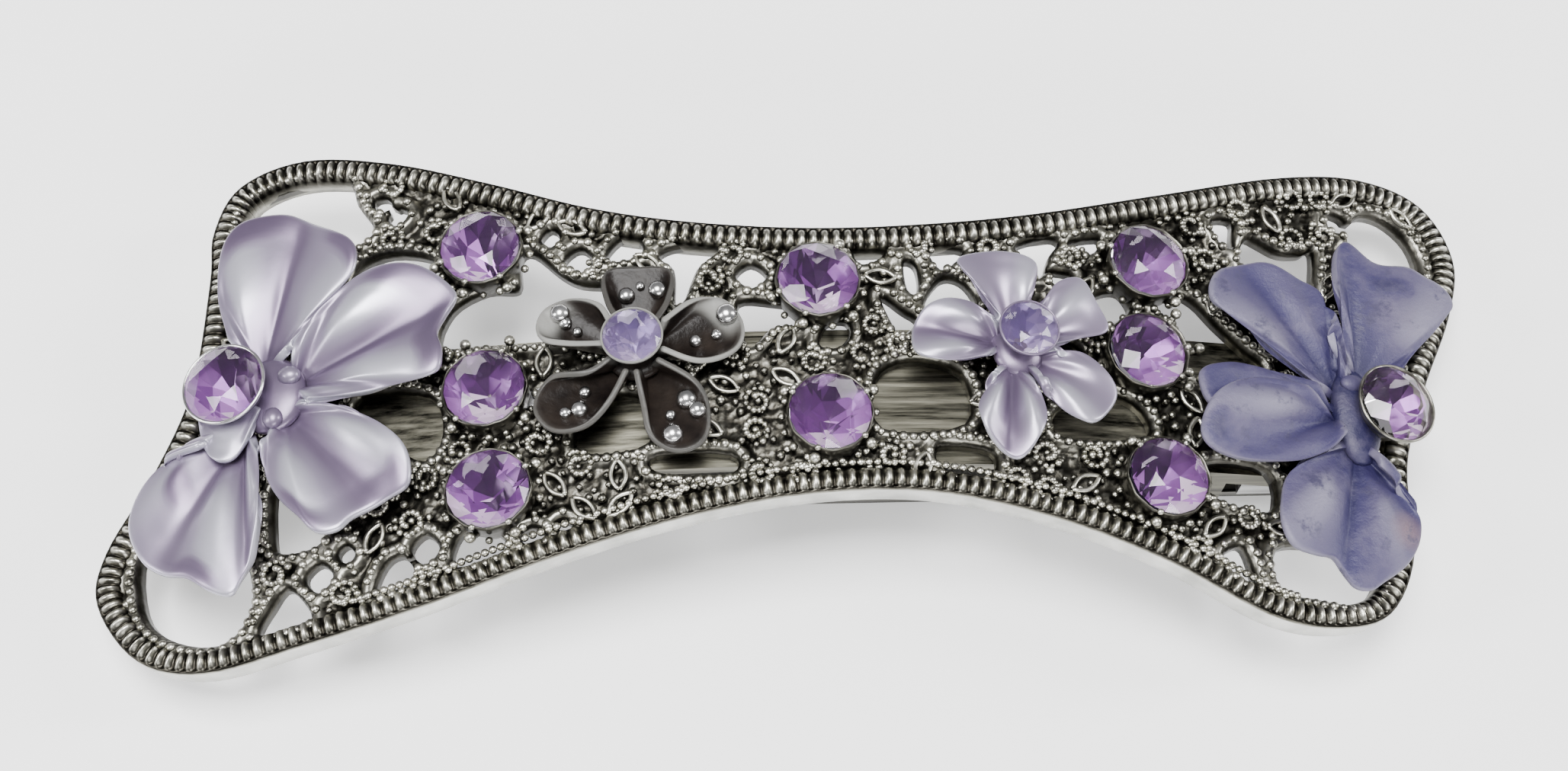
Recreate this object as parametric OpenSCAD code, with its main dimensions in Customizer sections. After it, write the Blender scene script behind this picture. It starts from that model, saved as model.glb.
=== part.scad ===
// Bone-shaped ornamental hair barrette: an arched filigree casting with set
// crystals and four enamelled flowers, riveted to a steel French clip.
// +X runs along the ornament, +Y across it, +Z out of its face.
// The origin is on the resting plane, under the centre of the outline.

/* [Ornament] */
// Radius of the arch that the ornament and the clip's base follow
arch_r = 127; // [110:1:150]
// Height of the arch's crown above the resting plane
crown_z = 10.4; // [10:0.1:12]
// Width of the ridged rim
rim_w = 1.5; // [1.2:0.1:1.8]
// Depth of the rim below the arch
rim_depth = 1.8; // [1.4:0.1:2]
// Height of the rim above the arch
rim_rise = 0.2; // [0.1:0.1:0.4]
// Depth of the filigree's back below the arch
web_depth = 1.4; // [1.2:0.1:1.4]
// Depth of the filigree's face below the arch
web_face = 0.3; // [0.2:0.1:0.5]

/* [Stones] */
// Diameter of the eight set crystals
crystal_d = 4.7; // [4.4:0.1:4.8]
// Height of a crystal's girdle above the arch
girdle_h = 0.9; // [0.8:0.1:1]
// Height of a stone's crown above its girdle, as a share of its radius
crown_share = 0.34; // [0.25:0.01:0.4]
// Wall of the cups that hold the stones
cup_wall = 0.4; // [0.3:0.05:0.45]

/* [Flowers] */
// Thickness of the enamelled petals
petal_t = 0.9; // [0.6:0.1:1.1]
// Radius of the rivet stems under the flowers' stone cups
stem_r = 0.6; // [0.4:0.1:0.8]

/* [Clip] */
// Width of the clip's base
base_w = 8.6; // [8:0.1:9]
// Thickness of the clip's sheet steel
sheet_t = 0.7; // [0.5:0.1:0.8]
// Distance from the middle to the hinge pin
hinge_x = 28.5; // [28:0.5:30]
// Distance from the middle to the clasp end of the base
clasp_x = 27.5; // [27:0.5:28]
// Offset of the clip from the ornament's middle line
clip_y = -1.5; // [-2:0.1:-1]
// Radius of the hinge pin
pin_r = 0.5; // [0.4:0.05:0.5]
// Running clearance between moving pieces
gap = 0.06; // [0.04:0.01:0.1]
// Width of the closure arm
arm_w = 6.6; // [6:0.1:6.8]
// Radius of the bowed tension bar
bow_r = 90; // [85:1:100]
// Height of the tension bar's crown above the resting plane
bow_z = 7.1; // [7:0.1:7.3]

/* [Hidden] */

// Outline of the ornament, clockwise from the upper left lobe
OUTLINE = [
    [-36, 8.5], [-36, 12], [-34.5, 15], [-30.5, 16.2], [-25, 15.2],
    [-19, 13.1], [-13, 10.9], [-7, 9.6], [0, 9], [7, 9.3],
    [14, 10.3], [22, 12.2], [30, 14.3], [35.5, 14.9], [39.6, 13.6],
    [41.3, 10], [40.2, 5.8], [37.4, 0.3], [35.3, -5], [34.8, -10.5],
    [32.6, -14.4], [29, -15.5], [25, -14.9], [19.5, -12], [13, -9.5],
    [6, -8], [-1, -8.1], [-8, -9.3], [-15, -11.2], [-22.5, -13.6],
    [-29, -15.2], [-34.5, -16.2], [-38.5, -15], [-41.2, -11.4], [-41, -8.2],
    [-38.5, -3.6], [-36.6, 1.5]
];
// Set crystals: place of each one
CRYSTALS = [
    [-19.3, 8.2], [-18.9, -1], [-18.6, -7.3], [0.2, 5],
    [0.5, -3.5], [20, 6.8], [19.3, 0.8], [19.6, -7.2]
];
// Outlines of the openings in the filigree
OPENINGS = [
    [[-38.9, -8.4], [-36, -8], [-33.2, -9], [-32.2, -11.8], [-32.9, -13.8], [-34.5, -14.5],
     [-37, -13.7], [-38.6, -11.9]],
    [[-34, 13.6], [-31, 14.7], [-28, 14.6], [-27.2, 12.8], [-26.2, 10.8], [-28.5, 9.5],
     [-32.5, 9.5], [-34.2, 10.8]],
    [[-27, 8.3], [-25, 9.1], [-22.5, 8.5], [-22, 7.3], [-24, 6], [-27, 6]],
    [[-26.2, 13], [-25.5, 13.1], [-25.1, 12.5], [-25.9, 12.1]],
    [[-25.3, 11.8], [-24.6, 12.3], [-24.1, 11.8], [-24.8, 11.1]],
    [[-21.8, 2.7], [-21.2, 4.9], [-19.2, 6], [-17.3, 6], [-17.2, 7.9], [-16.5, 8.3], [-14.8, 6.7],
     [-13.6, 6], [-11.8, 5.6], [-11.7, 4], [-13, 3.2], [-15.6, 2.4], [-19, 2.4]],
    [[-16, 9.2], [-15.4, 9.9], [-14.9, 9.3], [-15.4, 8.7]],
    [[-14.6, 7.6], [-13.7, 8.4], [-12.9, 7.6], [-13.7, 6.8]],
    [[-12.2, 7.5], [-11.2, 8.9], [-10.1, 8.6], [-10.2, 7.7]],
    [[-9, 7.6], [-7.8, 8.2], [-5.2, 8.2], [-6.6, 6.9], [-7.1, 5.9], [-7.6, 4.6], [-8.1, 4.5],
     [-8.1, 6.6]],
    [[-4.5, 6.1], [-3.6, 6.9], [-2.7, 6.1], [-3.6, 5.3]],
    [[-4.4, 4.3], [-2.6, 4.3], [-0.6, 3.8], [-0.5, 2.8], [-2.4, 2.7], [-3.7, 1.4], [-4.2, 2.2]],
    [[0.2, 1.5], [0.7, 2.8], [1.8, 3], [2, 2.1], [1.3, 1.3]],
    [[2.6, 7.8], [4.3, 7.9], [4.1, 7.2], [2.9, 6.8]],
    [[5.5, 6.9], [6.1, 6.8], [6.3, 5.8], [6.1, 4.8], [5.6, 5.2]],
    [[4, 4.6], [5.2, 3.7], [6, 3], [5.1, 2.1], [4.5, 3]],
    [[7.1, 7.8], [9.1, 7.8], [8.5, 6.9], [7.7, 6.5]],
    [[6.6, 3.8], [7.6, 5.7], [8.8, 5.7], [9.6, 4.4], [9, 3]],
    [[12.4, 8.1], [14.2, 8.8], [15.1, 8.6], [14.4, 7.6], [14, 6.5], [13.5, 6.1], [13.1, 7.1]],
    [[15.7, 8.5], [17.6, 9], [17.5, 8.3], [16.8, 7.9]],
    [[14.3, 6.5], [15.6, 6.4], [15.2, 5.8], [14.6, 5.7]],
    [[16.8, 4.8], [18.3, 5.4], [19, 4.6], [18.9, 4], [17.6, 3.1], [17, 3.3]],
    [[14.5, 1.3], [15.1, 1.8], [15.8, 1], [14.8, 0.9]],
    [[20.6, 4.7], [22, 5.5], [23.2, 5], [24.4, 3.6], [26, 2], [27, 1.1], [26.5, 0], [23, 0],
     [21.9, 1.4], [22, 3.2]],
    [[25.1, 10.8], [26.4, 11], [26.3, 9.9], [26.2, 9], [25.4, 9.5]],
    [[26.6, 8.2], [27.2, 9.8], [28, 9.6], [29.3, 9], [30.8, 9.1], [31.6, 9.5], [31.3, 7.5],
     [30.8, 5.5], [28, 6]],
    [[32.9, 12.3], [34.1, 12.2], [34.3, 11.3], [33.2, 11.2]],
    [[34.2, 10.6], [35.2, 12.4], [37, 12.4], [38.6, 11], [38.9, 8.9], [37.4, 7.5], [35, 8]],
    [[22.9, -11.5], [23.4, -10.9], [24.2, -10.8], [24.6, -12.8], [24, -12.8]],
    [[26.2, -10.8], [29, -10.4], [32.3, -11], [32.2, -12.6], [30.8, -13.8], [28, -13.6],
     [26.2, -13.2]],
    [[-31.2, -5.3], [-29.8, -6], [-28.6, -7.2], [-28.4, -9], [-30.7, -9.4], [-31.2, -8]],
    [[-29.2, -11.1], [-28.4, -10.3], [-27.6, -11.1], [-28.4, -12]],
    [[-31.7, -14.1], [-31, -12.6], [-30.1, -11.6], [-28.7, -13.4], [-30, -13.9]],
    [[-27.4, -9.8], [-26.9, -9.3], [-26.4, -9.9], [-26.9, -10.4]],
    [[-25.2, -12.4], [-24.6, -10.7], [-23.6, -10.3], [-22.9, -11.7], [-24.3, -12.3]],
    [[-23.2, -10], [-22.4, -9.1], [-21.6, -10], [-22.4, -10.9]],
    [[-20.7, -11.2], [-20.4, -9.3], [-18.9, -9], [-17.8, -10.3]],
    [[-17.1, -9.7], [-16.4, -9.2], [-15.7, -9.7], [-16.4, -10.3]],
    [[-15.1, -9.2], [-14.6, -8.9], [-14.1, -9.2], [-14.6, -9.5]],
    [[-26.4, -0.2], [-22.4, -0.6], [-21.6, -3], [-22.6, -4.6], [-24.6, -3.4], [-26.6, -2.2]],
    [[3.4, -0.8], [5.4, 0.4], [8.4, -0.4], [8.4, -3.6], [3.6, -3.9]],
    [[15.8, -1.4], [18.6, -2], [19.2, -4], [14.6, -4.4], [13.6, -3.2]],
    [[-12.4, -1.4], [-10, -1.8], [-9.8, -4.4], [-13.2, -4.9], [-14, -3.6]],
    [[22.6, -5.6], [26.4, -5.8], [26.2, -8.4], [22.8, -7.6]],
    [[-9.4, -5.2], [-5.2, -5.3], [-5.2, -6.5], [-9.2, -6.3]],
    [[6.8, -5], [9.8, -5.3], [9.6, -6.8], [7, -6.5]]
];
// Petal outlines of the lilac flower
LILAC_PETALS = [
    [[-33.6, 2.6], [-34.4, 6.6], [-34, 10], [-32, 11.4], [-29, 10.8], [-26.6, 9], [-26.2, 6.8],
     [-29.6, 2]],
    [[-30.4, 2.6], [-26, 6.2], [-23, 6.8], [-20.4, 5], [-21.2, 2.6], [-21, 0.4], [-23.6, -1],
     [-29.6, -1.6]],
    [[-29.6, -1], [-25.6, -2.2], [-23, -4.4], [-22.8, -7], [-25.8, -9.4], [-28.2, -9.2],
     [-30.6, -6.2], [-31.4, -2.6]],
    [[-34, -2.6], [-36.8, -4.2], [-38.3, -6.8], [-37.8, -9.8], [-35.2, -11.2], [-32.8, -12.6],
     [-31.4, -10.8], [-31, -6], [-31.4, -2.4]]
];
// Petal outlines of the violet flower
VIOLET_PETALS = [
    [[30.4, -1.6], [26.2, 1], [23, 3.9], [23.9, 6.2], [26.6, 6.9], [30.2, 5.1], [31.2, 2],
     [31.6, -0.6]],
    [[31.2, -0.4], [31, 4], [31.6, 7.8], [33, 8.8], [36, 7.6], [38.7, 5.6], [37.2, 2.6], [34.4, 0]],
    [[30.4, -1], [26, -0.4], [22, -0.8], [21.4, -4.8], [23.6, -6.5], [28.6, -5.5], [31.4, -3.4]],
    [[30.4, -4.6], [27.4, -6.6], [25.4, -9.8], [26.4, -12], [29, -13.2], [31, -13.6],
     [33.6, -11.4], [34, -8.8], [33, -5.4]]
];
// Petal outlines of the black flower
BLACK_PETALS = [
    [[-10.2, 1.2], [-9.2, 2.2], [-8.5, 3.6], [-8.3, 5.5], [-10.1, 5.8], [-11.9, 5.6], [-11.7, 3.6],
     [-11, 2.2]],
    [[-11, 0.9], [-11.8, 1.9], [-12.6, 3.4], [-14.2, 3.9], [-15.6, 3.2], [-15.8, 1.8],
     [-14.2, 1.2], [-12, 0.9]],
    [[-9.4, 1], [-8.8, 0.4], [-6.6, -0.4], [-4.6, 0.3], [-4.2, 1.9], [-5.2, 3.4], [-6.8, 3.3],
     [-8.6, 1.8]],
    [[-10.8, 0], [-11.5, -0.3], [-13, -1.2], [-15.2, -1.3], [-16, -2.9], [-15, -4.3],
     [-13.3, -4.2], [-12, -2.9], [-10.9, -0.9]],
    [[-9.8, -0.1], [-10.1, -1], [-9.7, -3.2], [-9.3, -5.2], [-8, -6], [-6.6, -5.4], [-6.3, -3.6],
     [-7, -2], [-9.2, -0.6]]
];
// Petal outlines of the small lilac flower
SMALL_PETALS = [
    [[11.2, 1.5], [12, 2.6], [12.7, 4.4], [12.7, 5.9], [10.5, 6.6], [8.2, 6], [9, 4.4], [10.2, 2.4]],
    [[12.3, 1.2], [13.4, 0.4], [15, 0.9], [16.8, 1.6], [16.1, 3.6], [15.4, 4.9], [14, 4.6],
     [13, 3.2]],
    [[12, -0.2], [12.6, -1.8], [13.2, -3.4], [15, -4.6], [16.4, -3.5], [16.9, -2.3], [16.2, -1],
     [15, 0], [13.6, 0]],
    [[11, -0.6], [9.9, -1.7], [8.7, -3.4], [8.9, -4.9], [9.8, -6], [10.8, -6.7], [11.8, -5.8],
     [12.6, -4.2], [12.3, -2.4]],
    [[10.4, 0.8], [9.9, 2.1], [8.8, 3.1], [7.4, 3.3], [6.1, 2.7], [5.3, 1.3], [5.4, -0.3],
     [7.1, -0.8], [9.6, -0.4]]
];
// Places of the flowers' stones
lilac_at = [-33, -0.2];
black_at = [-10.4, 0.8];
small_at = [11.8, 1];
violet_at = [33, -2.6];
// Diameters of the flowers' stones, and heights of their girdles above the arch
big_stone_d = 4.8;
little_stone_d = 3.4;
big_rise = 3.2;
little_rise = 2.6;
// A stone's point, culet and table, as shares of its radius, and half its girdle
point_share = 0.78;
culet_share = 0.16;
table_share = 0.58;
girdle_half = 0.06;
// Clearance of a stone in its seat, and height that the seat stays open to
seat_room = 0.03;
seat_top = 3;
// Height of a cup's lip above its stone's girdle, on the casting and on a flower
cast_lip = 0.1;
cup_lip = 0.15;
// Heights of the petals' backs and faces above the arch
petal_low = rim_rise + 0.1;
petal_high = petal_low + petal_t;
// Room between the petals and the crystals' cups, and round stems and rivets
petal_gap = 0.1;
stem_gap = 0.03;
// Radii of the flowers' hubs, and of the pads under stems and rivets
hub_r = 3.4;
small_hub_r = 1.8;
boss_r = 1.8;
rivet_pad_r = 1.6;
// Heights of the base's faces above the arch
base_top = -web_depth;
base_low = -web_depth - sheet_t;
// Facets of round pieces and of the arch
facets = 48;
arch_facets = 720;
// Steps between two points of an opening
opening_steps = 2;
// Overlap between solids of one piece, distance that cuts run past it, and length of a bored hole
sink = 0.2;
past = 1;
hole_l = 8;
// Block that the arch is cut from
slab_half_w = 30;
block_h = 20;
// Hinge ears and closure arm
ear_t = sheet_t;
ear_half_l = 1.2;
ear_half = arm_w / 2 + gap;
arm_low = 0.9;
arm_end_x = 31;
knuckle_r = 1.1;
pin_z = arm_low + sheet_t / 2;
// Room round a fixed pin, and length that it stands out
pin_room = 0.02;
pin_end = 0.2;
// Window in the arm for the tabs
window_low_x = 25.2;
window_high_x = 29.4;
window_w = 4.6;
// Bowed tension bar, its eye and its pin
bow_low_x = -27.9;
bow_high_x = 21.6;
bow_t = 0.3;
bow_w = 5.6;
spring_x = -28;
spring_z = 3.15;
spring_pin_r = 0.3;
eye_r = 0.65;
// Rivets and their heads
rivet_x = [-16, 14];
clasp_rivet_x = clasp_x - 4;
rivet_r = 0.8;
head_reach = 0.5;
head_t = 0.3;
head_off = 0.05;
// Clasp bracket: end of its plate, guide legs and the wall for the tabs' pins
bracket_end_x = 28.9;
guide_low_x = 22.4;
guide_high_x = 24.2;
guide_t = 0.7;
guide_y = arm_w / 2 + 0.65;
wall_low_x = 24.5;
wall_high_x = 25.1;
wall_low_z = 3.1;
wall_half = 2.4;
// Clasp tabs: pivot lines, legs, barbs and finger pads
tab_low_x = 25.6;
tab_high_x = 29;
tab_low_z = 0.3;
tab_y = 1.55;
tab_t = 0.5;
tab_pin_z = 3.65;
tab_pin_r = 0.2;
tab_eye_r = 0.45;
barb_reach = 0.4;
barb_h = 0.45;
pad_low_z = 2.2;
pad_reach = 2;
pad_h = 1.8;
pad_t = 0.4;

// Height of the arch at x, above the resting plane
function arch_z(x) = crown_z - arch_r + sqrt(arch_r * arch_r - x * x);

// Closed smooth curve through the points
function bend(a, b, c, d, t) =
    0.5 * (2 * b + (c - a) * t + (2 * a - 5 * b + 4 * c - d) * t * t + (3 * b - a - 3 * c + d) * t * t * t);
function smooth(p, steps = 3) = [
    for (i = [0 : len(p) - 1], s = [0 : steps - 1])
        bend(p[(i + len(p) - 1) % len(p)], p[i], p[(i + 1) % len(p)], p[(i + 2) % len(p)], s / steps)
];

// A clockwise closed curve moved inwards by d
function unit(v) = v / norm(v);
function inset(p, d) = [
    for (i = [0 : len(p) - 1])
        let (along = unit(p[(i + 1) % len(p)] - p[(i + len(p) - 1) % len(p)]))
        p[i] + d * [along[1], -along[0]]
];

// Slab between two heights over an arch about Y
module arch_slab(low, high, r = arch_r, top = crown_z) {
    translate([0, slab_half_w, top - r])
        rotate([90, 0, 0])
            difference() {
                cylinder(r = r + high, h = 2 * slab_half_w, $fn = arch_facets);
                translate([0, 0, -past])
                    cylinder(r = r + low, h = 2 * (slab_half_w + past), $fn = arch_facets);
            }
}

// An outline raised into part of an arched slab
module arched(low, high, r = arch_r, top = crown_z) {
    intersection() {
        translate([0, 0, -past])
            linear_extrude(height = block_h)
                children();
        arch_slab(low, high, r, top);
    }
}

// Children placed square to the arch at x, y
module on_arch(at) {
    translate([at[0], at[1], arch_z(at[0])])
        rotate([0, asin(at[0] / arch_r), 0])
            children();
}

// Round stone: table, crown and pointed back, with its girdle at z = 0
module stone(d) {
    rotate_extrude($fn = facets)
        polygon([
            [0, -point_share * d / 2], [culet_share * d / 2, -point_share * d / 2],
            [d / 2, -girdle_half], [d / 2, girdle_half],
            [table_share * d / 2, crown_share * d / 2], [0, crown_share * d / 2]
        ]);
}

// Seat that a stone of diameter d drops into, with its girdle at z = 0
module stone_seat(d) {
    rotate_extrude($fn = facets)
        polygon([
            [0, -point_share * d / 2 - seat_room],
            [culet_share * d / 2 + 2 * seat_room, -point_share * d / 2 - seat_room],
            [d / 2 + seat_room, -girdle_half - seat_room / 2], [d / 2 + seat_room, seat_top],
            [0, seat_top]
        ]);
}

// Cup with a rivet stem for a stone at a flower's heart, its girdle at z = rise
module stone_cup(d, rise) {
    difference() {
        union() {
            translate([0, 0, petal_high])
                cylinder(r = d / 2 + cup_wall, h = rise - petal_high + cup_lip, $fn = facets);
            translate([0, 0, -web_depth])
                cylinder(r = stem_r, h = web_depth + petal_high + sink, $fn = facets);
        }
        translate([0, 0, rise])
            stone_seat(d);
    }
}

// Bored hole square to the arch, about z = 0
module bore(r) {
    translate([0, 0, -hole_l / 2])
        cylinder(r = r, h = hole_l, $fn = facets);
}

// Room round the crystals' cups
module crystal_room() {
    for (at = CRYSTALS)
        on_arch(at)
            bore(crystal_d / 2 + cup_wall + petal_gap);
}

module stem_hole(at) {
    on_arch(at)
        bore(stem_r + stem_gap);
}

module petals(outlines) {
    for (p = outlines)
        arched(petal_low, petal_high)
            polygon(smooth(p));
}

// Flower of drawn petals about a round hub
module flower(at, outlines, r) {
    difference() {
        union() {
            petals(outlines);
            arched(petal_low, petal_high)
                translate(at)
                    circle(r = r, $fn = facets);
        }
        stem_hole(at);
        crystal_room();
    }
}

module filigree_casting() {
    edge = smooth(OUTLINE);
    color("dimgray")
        difference() {
            union() {
                arched(-rim_depth, rim_rise)
                    difference() {
                        polygon(edge);
                        polygon(inset(edge, rim_w));
                    }
                arched(-web_depth, -web_face)
                    difference() {
                        polygon(inset(edge, rim_w / 2));
                        for (o = OPENINGS)
                            polygon(smooth(o, opening_steps));
                    }
                for (at = CRYSTALS)
                    on_arch(at)
                        translate([0, 0, -web_depth + sink])
                            cylinder(
                                r = crystal_d / 2 + cup_wall,
                                h = web_depth - sink + girdle_h + cast_lip,
                                $fn = facets);
                for (at = [lilac_at, black_at, small_at, violet_at])
                    arched(-web_depth, -web_face)
                        translate(at)
                            circle(r = boss_r, $fn = facets);
                for (x = rivet_x)
                    arched(-web_depth, -web_face)
                        translate([x, clip_y])
                            circle(r = rivet_pad_r, $fn = facets);
            }
            for (at = CRYSTALS)
                on_arch(at)
                    translate([0, 0, girdle_h])
                        stone_seat(crystal_d);
            for (at = [lilac_at, black_at, small_at, violet_at])
                stem_hole(at);
            for (x = rivet_x)
                rivet_hole(x);
        }
}

module crystal(i) {
    color("mediumpurple")
        on_arch(CRYSTALS[i])
            translate([0, 0, girdle_h])
                stone(crystal_d);
}

module lilac_flower() {
    color("thistle")
        flower(lilac_at, LILAC_PETALS, hub_r);
}

module violet_flower() {
    color("slateblue")
        flower(violet_at, VIOLET_PETALS, hub_r);
}

module black_flower() {
    color("black")
        flower(black_at, BLACK_PETALS, small_hub_r);
}

module small_lilac_flower() {
    color("plum")
        flower(small_at, SMALL_PETALS, small_hub_r);
}

module flower_cup(at, d, rise) {
    color("silver")
        on_arch(at)
            stone_cup(d, rise);
}

module flower_stone(at, d, rise) {
    color("violet")
        on_arch(at)
            translate([0, 0, rise])
                stone(d);
}

// Hole for a rivet through the clip's middle line
module rivet_hole(x) {
    on_arch([x, clip_y])
        bore(rivet_r + stem_gap);
}

// Rivet between two heights, with a head under its low end
module rivet(x, low, high) {
    on_arch([x, clip_y]) {
        translate([0, 0, low - head_off - head_t])
            cylinder(r = rivet_r + head_reach, h = head_t, $fn = facets);
        translate([0, 0, low - 2 * head_off])
            cylinder(r = rivet_r, h = high - low + 2 * head_off, $fn = facets);
    }
}

// Strip bent to an arch about Y, between two distances along X
module arched_strip(low, high, w, x0, x1, r = arch_r, top = crown_z) {
    arched(low, high, r, top)
        translate([x0, clip_y - w / 2])
            square([x1 - x0, w]);
}

module base_bar() {
    color("gray")
        difference() {
            union() {
                arched_strip(base_low, base_top, base_w, -hinge_x - ear_half_l, clasp_x);
                for (side = [-1, 1])
                    translate([-hinge_x, clip_y + side * (ear_half + ear_t / 2), 0])
                        hinge_ear();
            }
            for (x = rivet_x)
                rivet_hole(x);
            rivet_hole(clasp_rivet_x);
        }
}

// Flat-footed ear with holes for the hinge pin and the spring pin
module hinge_ear() {
    difference() {
        translate([-ear_half_l, -ear_t / 2, 0])
            cube([2 * ear_half_l, ear_t, arch_z(hinge_x + ear_half_l) + base_top - sink / 2]);
        translate([0, ear_t, pin_z])
            rotate([90, 0, 0])
                cylinder(r = pin_r + pin_room, h = 2 * ear_t, $fn = facets);
        translate([hinge_x + spring_x, ear_t, spring_z])
            rotate([90, 0, 0])
                cylinder(r = spring_pin_r + pin_room, h = 2 * ear_t, $fn = facets);
    }
}

module base_rivets() {
    color("silver")
        for (x = rivet_x)
            rivet(x, base_low, -web_face - 2 * head_off);
}

// Pin across both ears
module cross_pin(x, z, r) {
    half = ear_half + ear_t + pin_end;
    color("silver")
        translate([x, clip_y + half, z])
            rotate([90, 0, 0])
                cylinder(r = r, h = 2 * half, $fn = facets);
}

module closure_arm() {
    color("darkgray")
        difference() {
            union() {
                translate([-hinge_x, clip_y - arm_w / 2, arm_low])
                    cube([hinge_x + arm_end_x, arm_w, sheet_t]);
                translate([-hinge_x, clip_y + arm_w / 2, pin_z])
                    rotate([90, 0, 0])
                        cylinder(r = knuckle_r, h = arm_w, $fn = facets);
            }
            translate([-hinge_x, clip_y + arm_w, pin_z])
                rotate([90, 0, 0])
                    cylinder(r = pin_r + gap, h = 2 * arm_w, $fn = facets);
            translate([window_low_x, clip_y - window_w / 2, 0])
                cube([window_high_x - window_low_x, window_w, arm_low + 2 * sheet_t]);
        }
}

// Bowed spring strip with a rolled eye round the spring pin
module tension_bar() {
    color("silver")
        difference() {
            union() {
                arched_strip(-bow_t, 0, bow_w, bow_low_x, bow_high_x, bow_r, bow_z);
                translate([spring_x, clip_y + bow_w / 2, spring_z])
                    rotate([90, 0, 0])
                        cylinder(r = eye_r, h = bow_w, $fn = facets);
            }
            translate([spring_x, clip_y + bow_w, spring_z])
                rotate([90, 0, 0])
                    cylinder(r = spring_pin_r + gap, h = 2 * bow_w, $fn = facets);
        }
}

// Plate under the clasp end of the base, with two guide legs for the arm and a wall for the tabs' pins
module clasp_bracket() {
    leg_top = arch_z(guide_high_x) + base_low - sink;
    wall_top = arch_z(wall_high_x) + base_low - sink;
    color("gray")
        difference() {
            union() {
                arched_strip(base_low - sheet_t, base_low, base_w, guide_low_x, bracket_end_x);
                for (side = [-1, 1])
                    translate([guide_low_x, clip_y + side * guide_y - guide_t / 2, 0])
                        cube([guide_high_x - guide_low_x, guide_t, leg_top]);
                translate([wall_low_x, clip_y - wall_half, wall_low_z])
                    cube([wall_high_x - wall_low_x, 2 * wall_half, wall_top - wall_low_z]);
            }
            rivet_hole(clasp_rivet_x);
            for (side = [-1, 1])
                along_x(side, wall_low_x - past, wall_high_x + past, tab_pin_r + pin_room);
        }
}

module clasp_rivet() {
    color("silver")
        rivet(clasp_rivet_x, base_low - sheet_t, base_top - head_off);
}

// Rod along X on the pivot line of the tab on side -1 or 1
module along_x(side, x0, x1, r) {
    translate([x0, clip_y + side * tab_y, tab_pin_z])
        rotate([0, 90, 0])
            cylinder(r = r, h = x1 - x0, $fn = facets);
}

module tab_pins() {
    color("silver")
        for (side = [-1, 1])
            along_x(side, wall_low_x, tab_high_x, tab_pin_r);
}

// Tab for side -1 or 1: a leg through the arm's window with a rolled eye, a barb and a finger pad
module pinch_tab(side) {
    tab_l = tab_high_x - tab_low_x;
    pad_end = tab_y - tab_t / 2 + pad_reach;
    color("lightgray")
        difference() {
            union() {
                along_x(side, tab_low_x, tab_high_x, tab_eye_r);
                translate([tab_low_x, clip_y, 0])
                    mirror([0, side < 0 ? 1 : 0, 0]) {
                        translate([0, tab_y - tab_t / 2, tab_low_z])
                            cube([tab_l, tab_t, tab_pin_z - tab_low_z]);
                        translate([0, tab_y, tab_low_z])
                            cube([tab_l, tab_t / 2 + barb_reach, barb_h]);
                        translate([0, tab_y, pad_low_z])
                            cube([tab_l, pad_end - tab_y, tab_t]);
                        translate([0, pad_end, pad_low_z])
                            cube([tab_l, pad_t, pad_h]);
                    }
            }
            along_x(side, tab_low_x - past, tab_high_x + past, tab_pin_r + gap);
        }
}

filigree_casting();
crystal(0);  // crystal_1
crystal(1);  // crystal_2
crystal(2);  // crystal_3
crystal(3);  // crystal_4
crystal(4);  // crystal_5
crystal(5);  // crystal_6
crystal(6);  // crystal_7
crystal(7);  // crystal_8
lilac_flower();
black_flower();
small_lilac_flower();
violet_flower();
flower_cup(lilac_at, big_stone_d, big_rise);  // lilac_stone_cup
flower_cup(black_at, little_stone_d, little_rise);  // black_stone_cup
flower_cup(small_at, little_stone_d, little_rise);  // small_stone_cup
flower_cup(violet_at, big_stone_d, big_rise);  // violet_stone_cup
flower_stone(lilac_at, big_stone_d, big_rise);  // lilac_stone
flower_stone(black_at, little_stone_d, little_rise);  // black_stone
flower_stone(small_at, little_stone_d, little_rise);  // small_stone
flower_stone(violet_at, big_stone_d, big_rise);  // violet_stone
base_bar();
base_rivets();
cross_pin(-hinge_x, pin_z, pin_r);  // hinge_pin
cross_pin(spring_x, spring_z, spring_pin_r);  // spring_pin
closure_arm();
tension_bar();
clasp_bracket();
clasp_rivet();
tab_pins();
pinch_tab(-1);  // pinch_tab_front
pinch_tab(1);  // pinch_tab_back
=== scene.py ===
"""Looks of the filigree hair barrette.

Lengths are in millimetres until mesh_object() scales them to metres.
"""
import math
import random

import bmesh
import bpy
import numpy as np
from mathutils import Matrix, Vector


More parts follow.
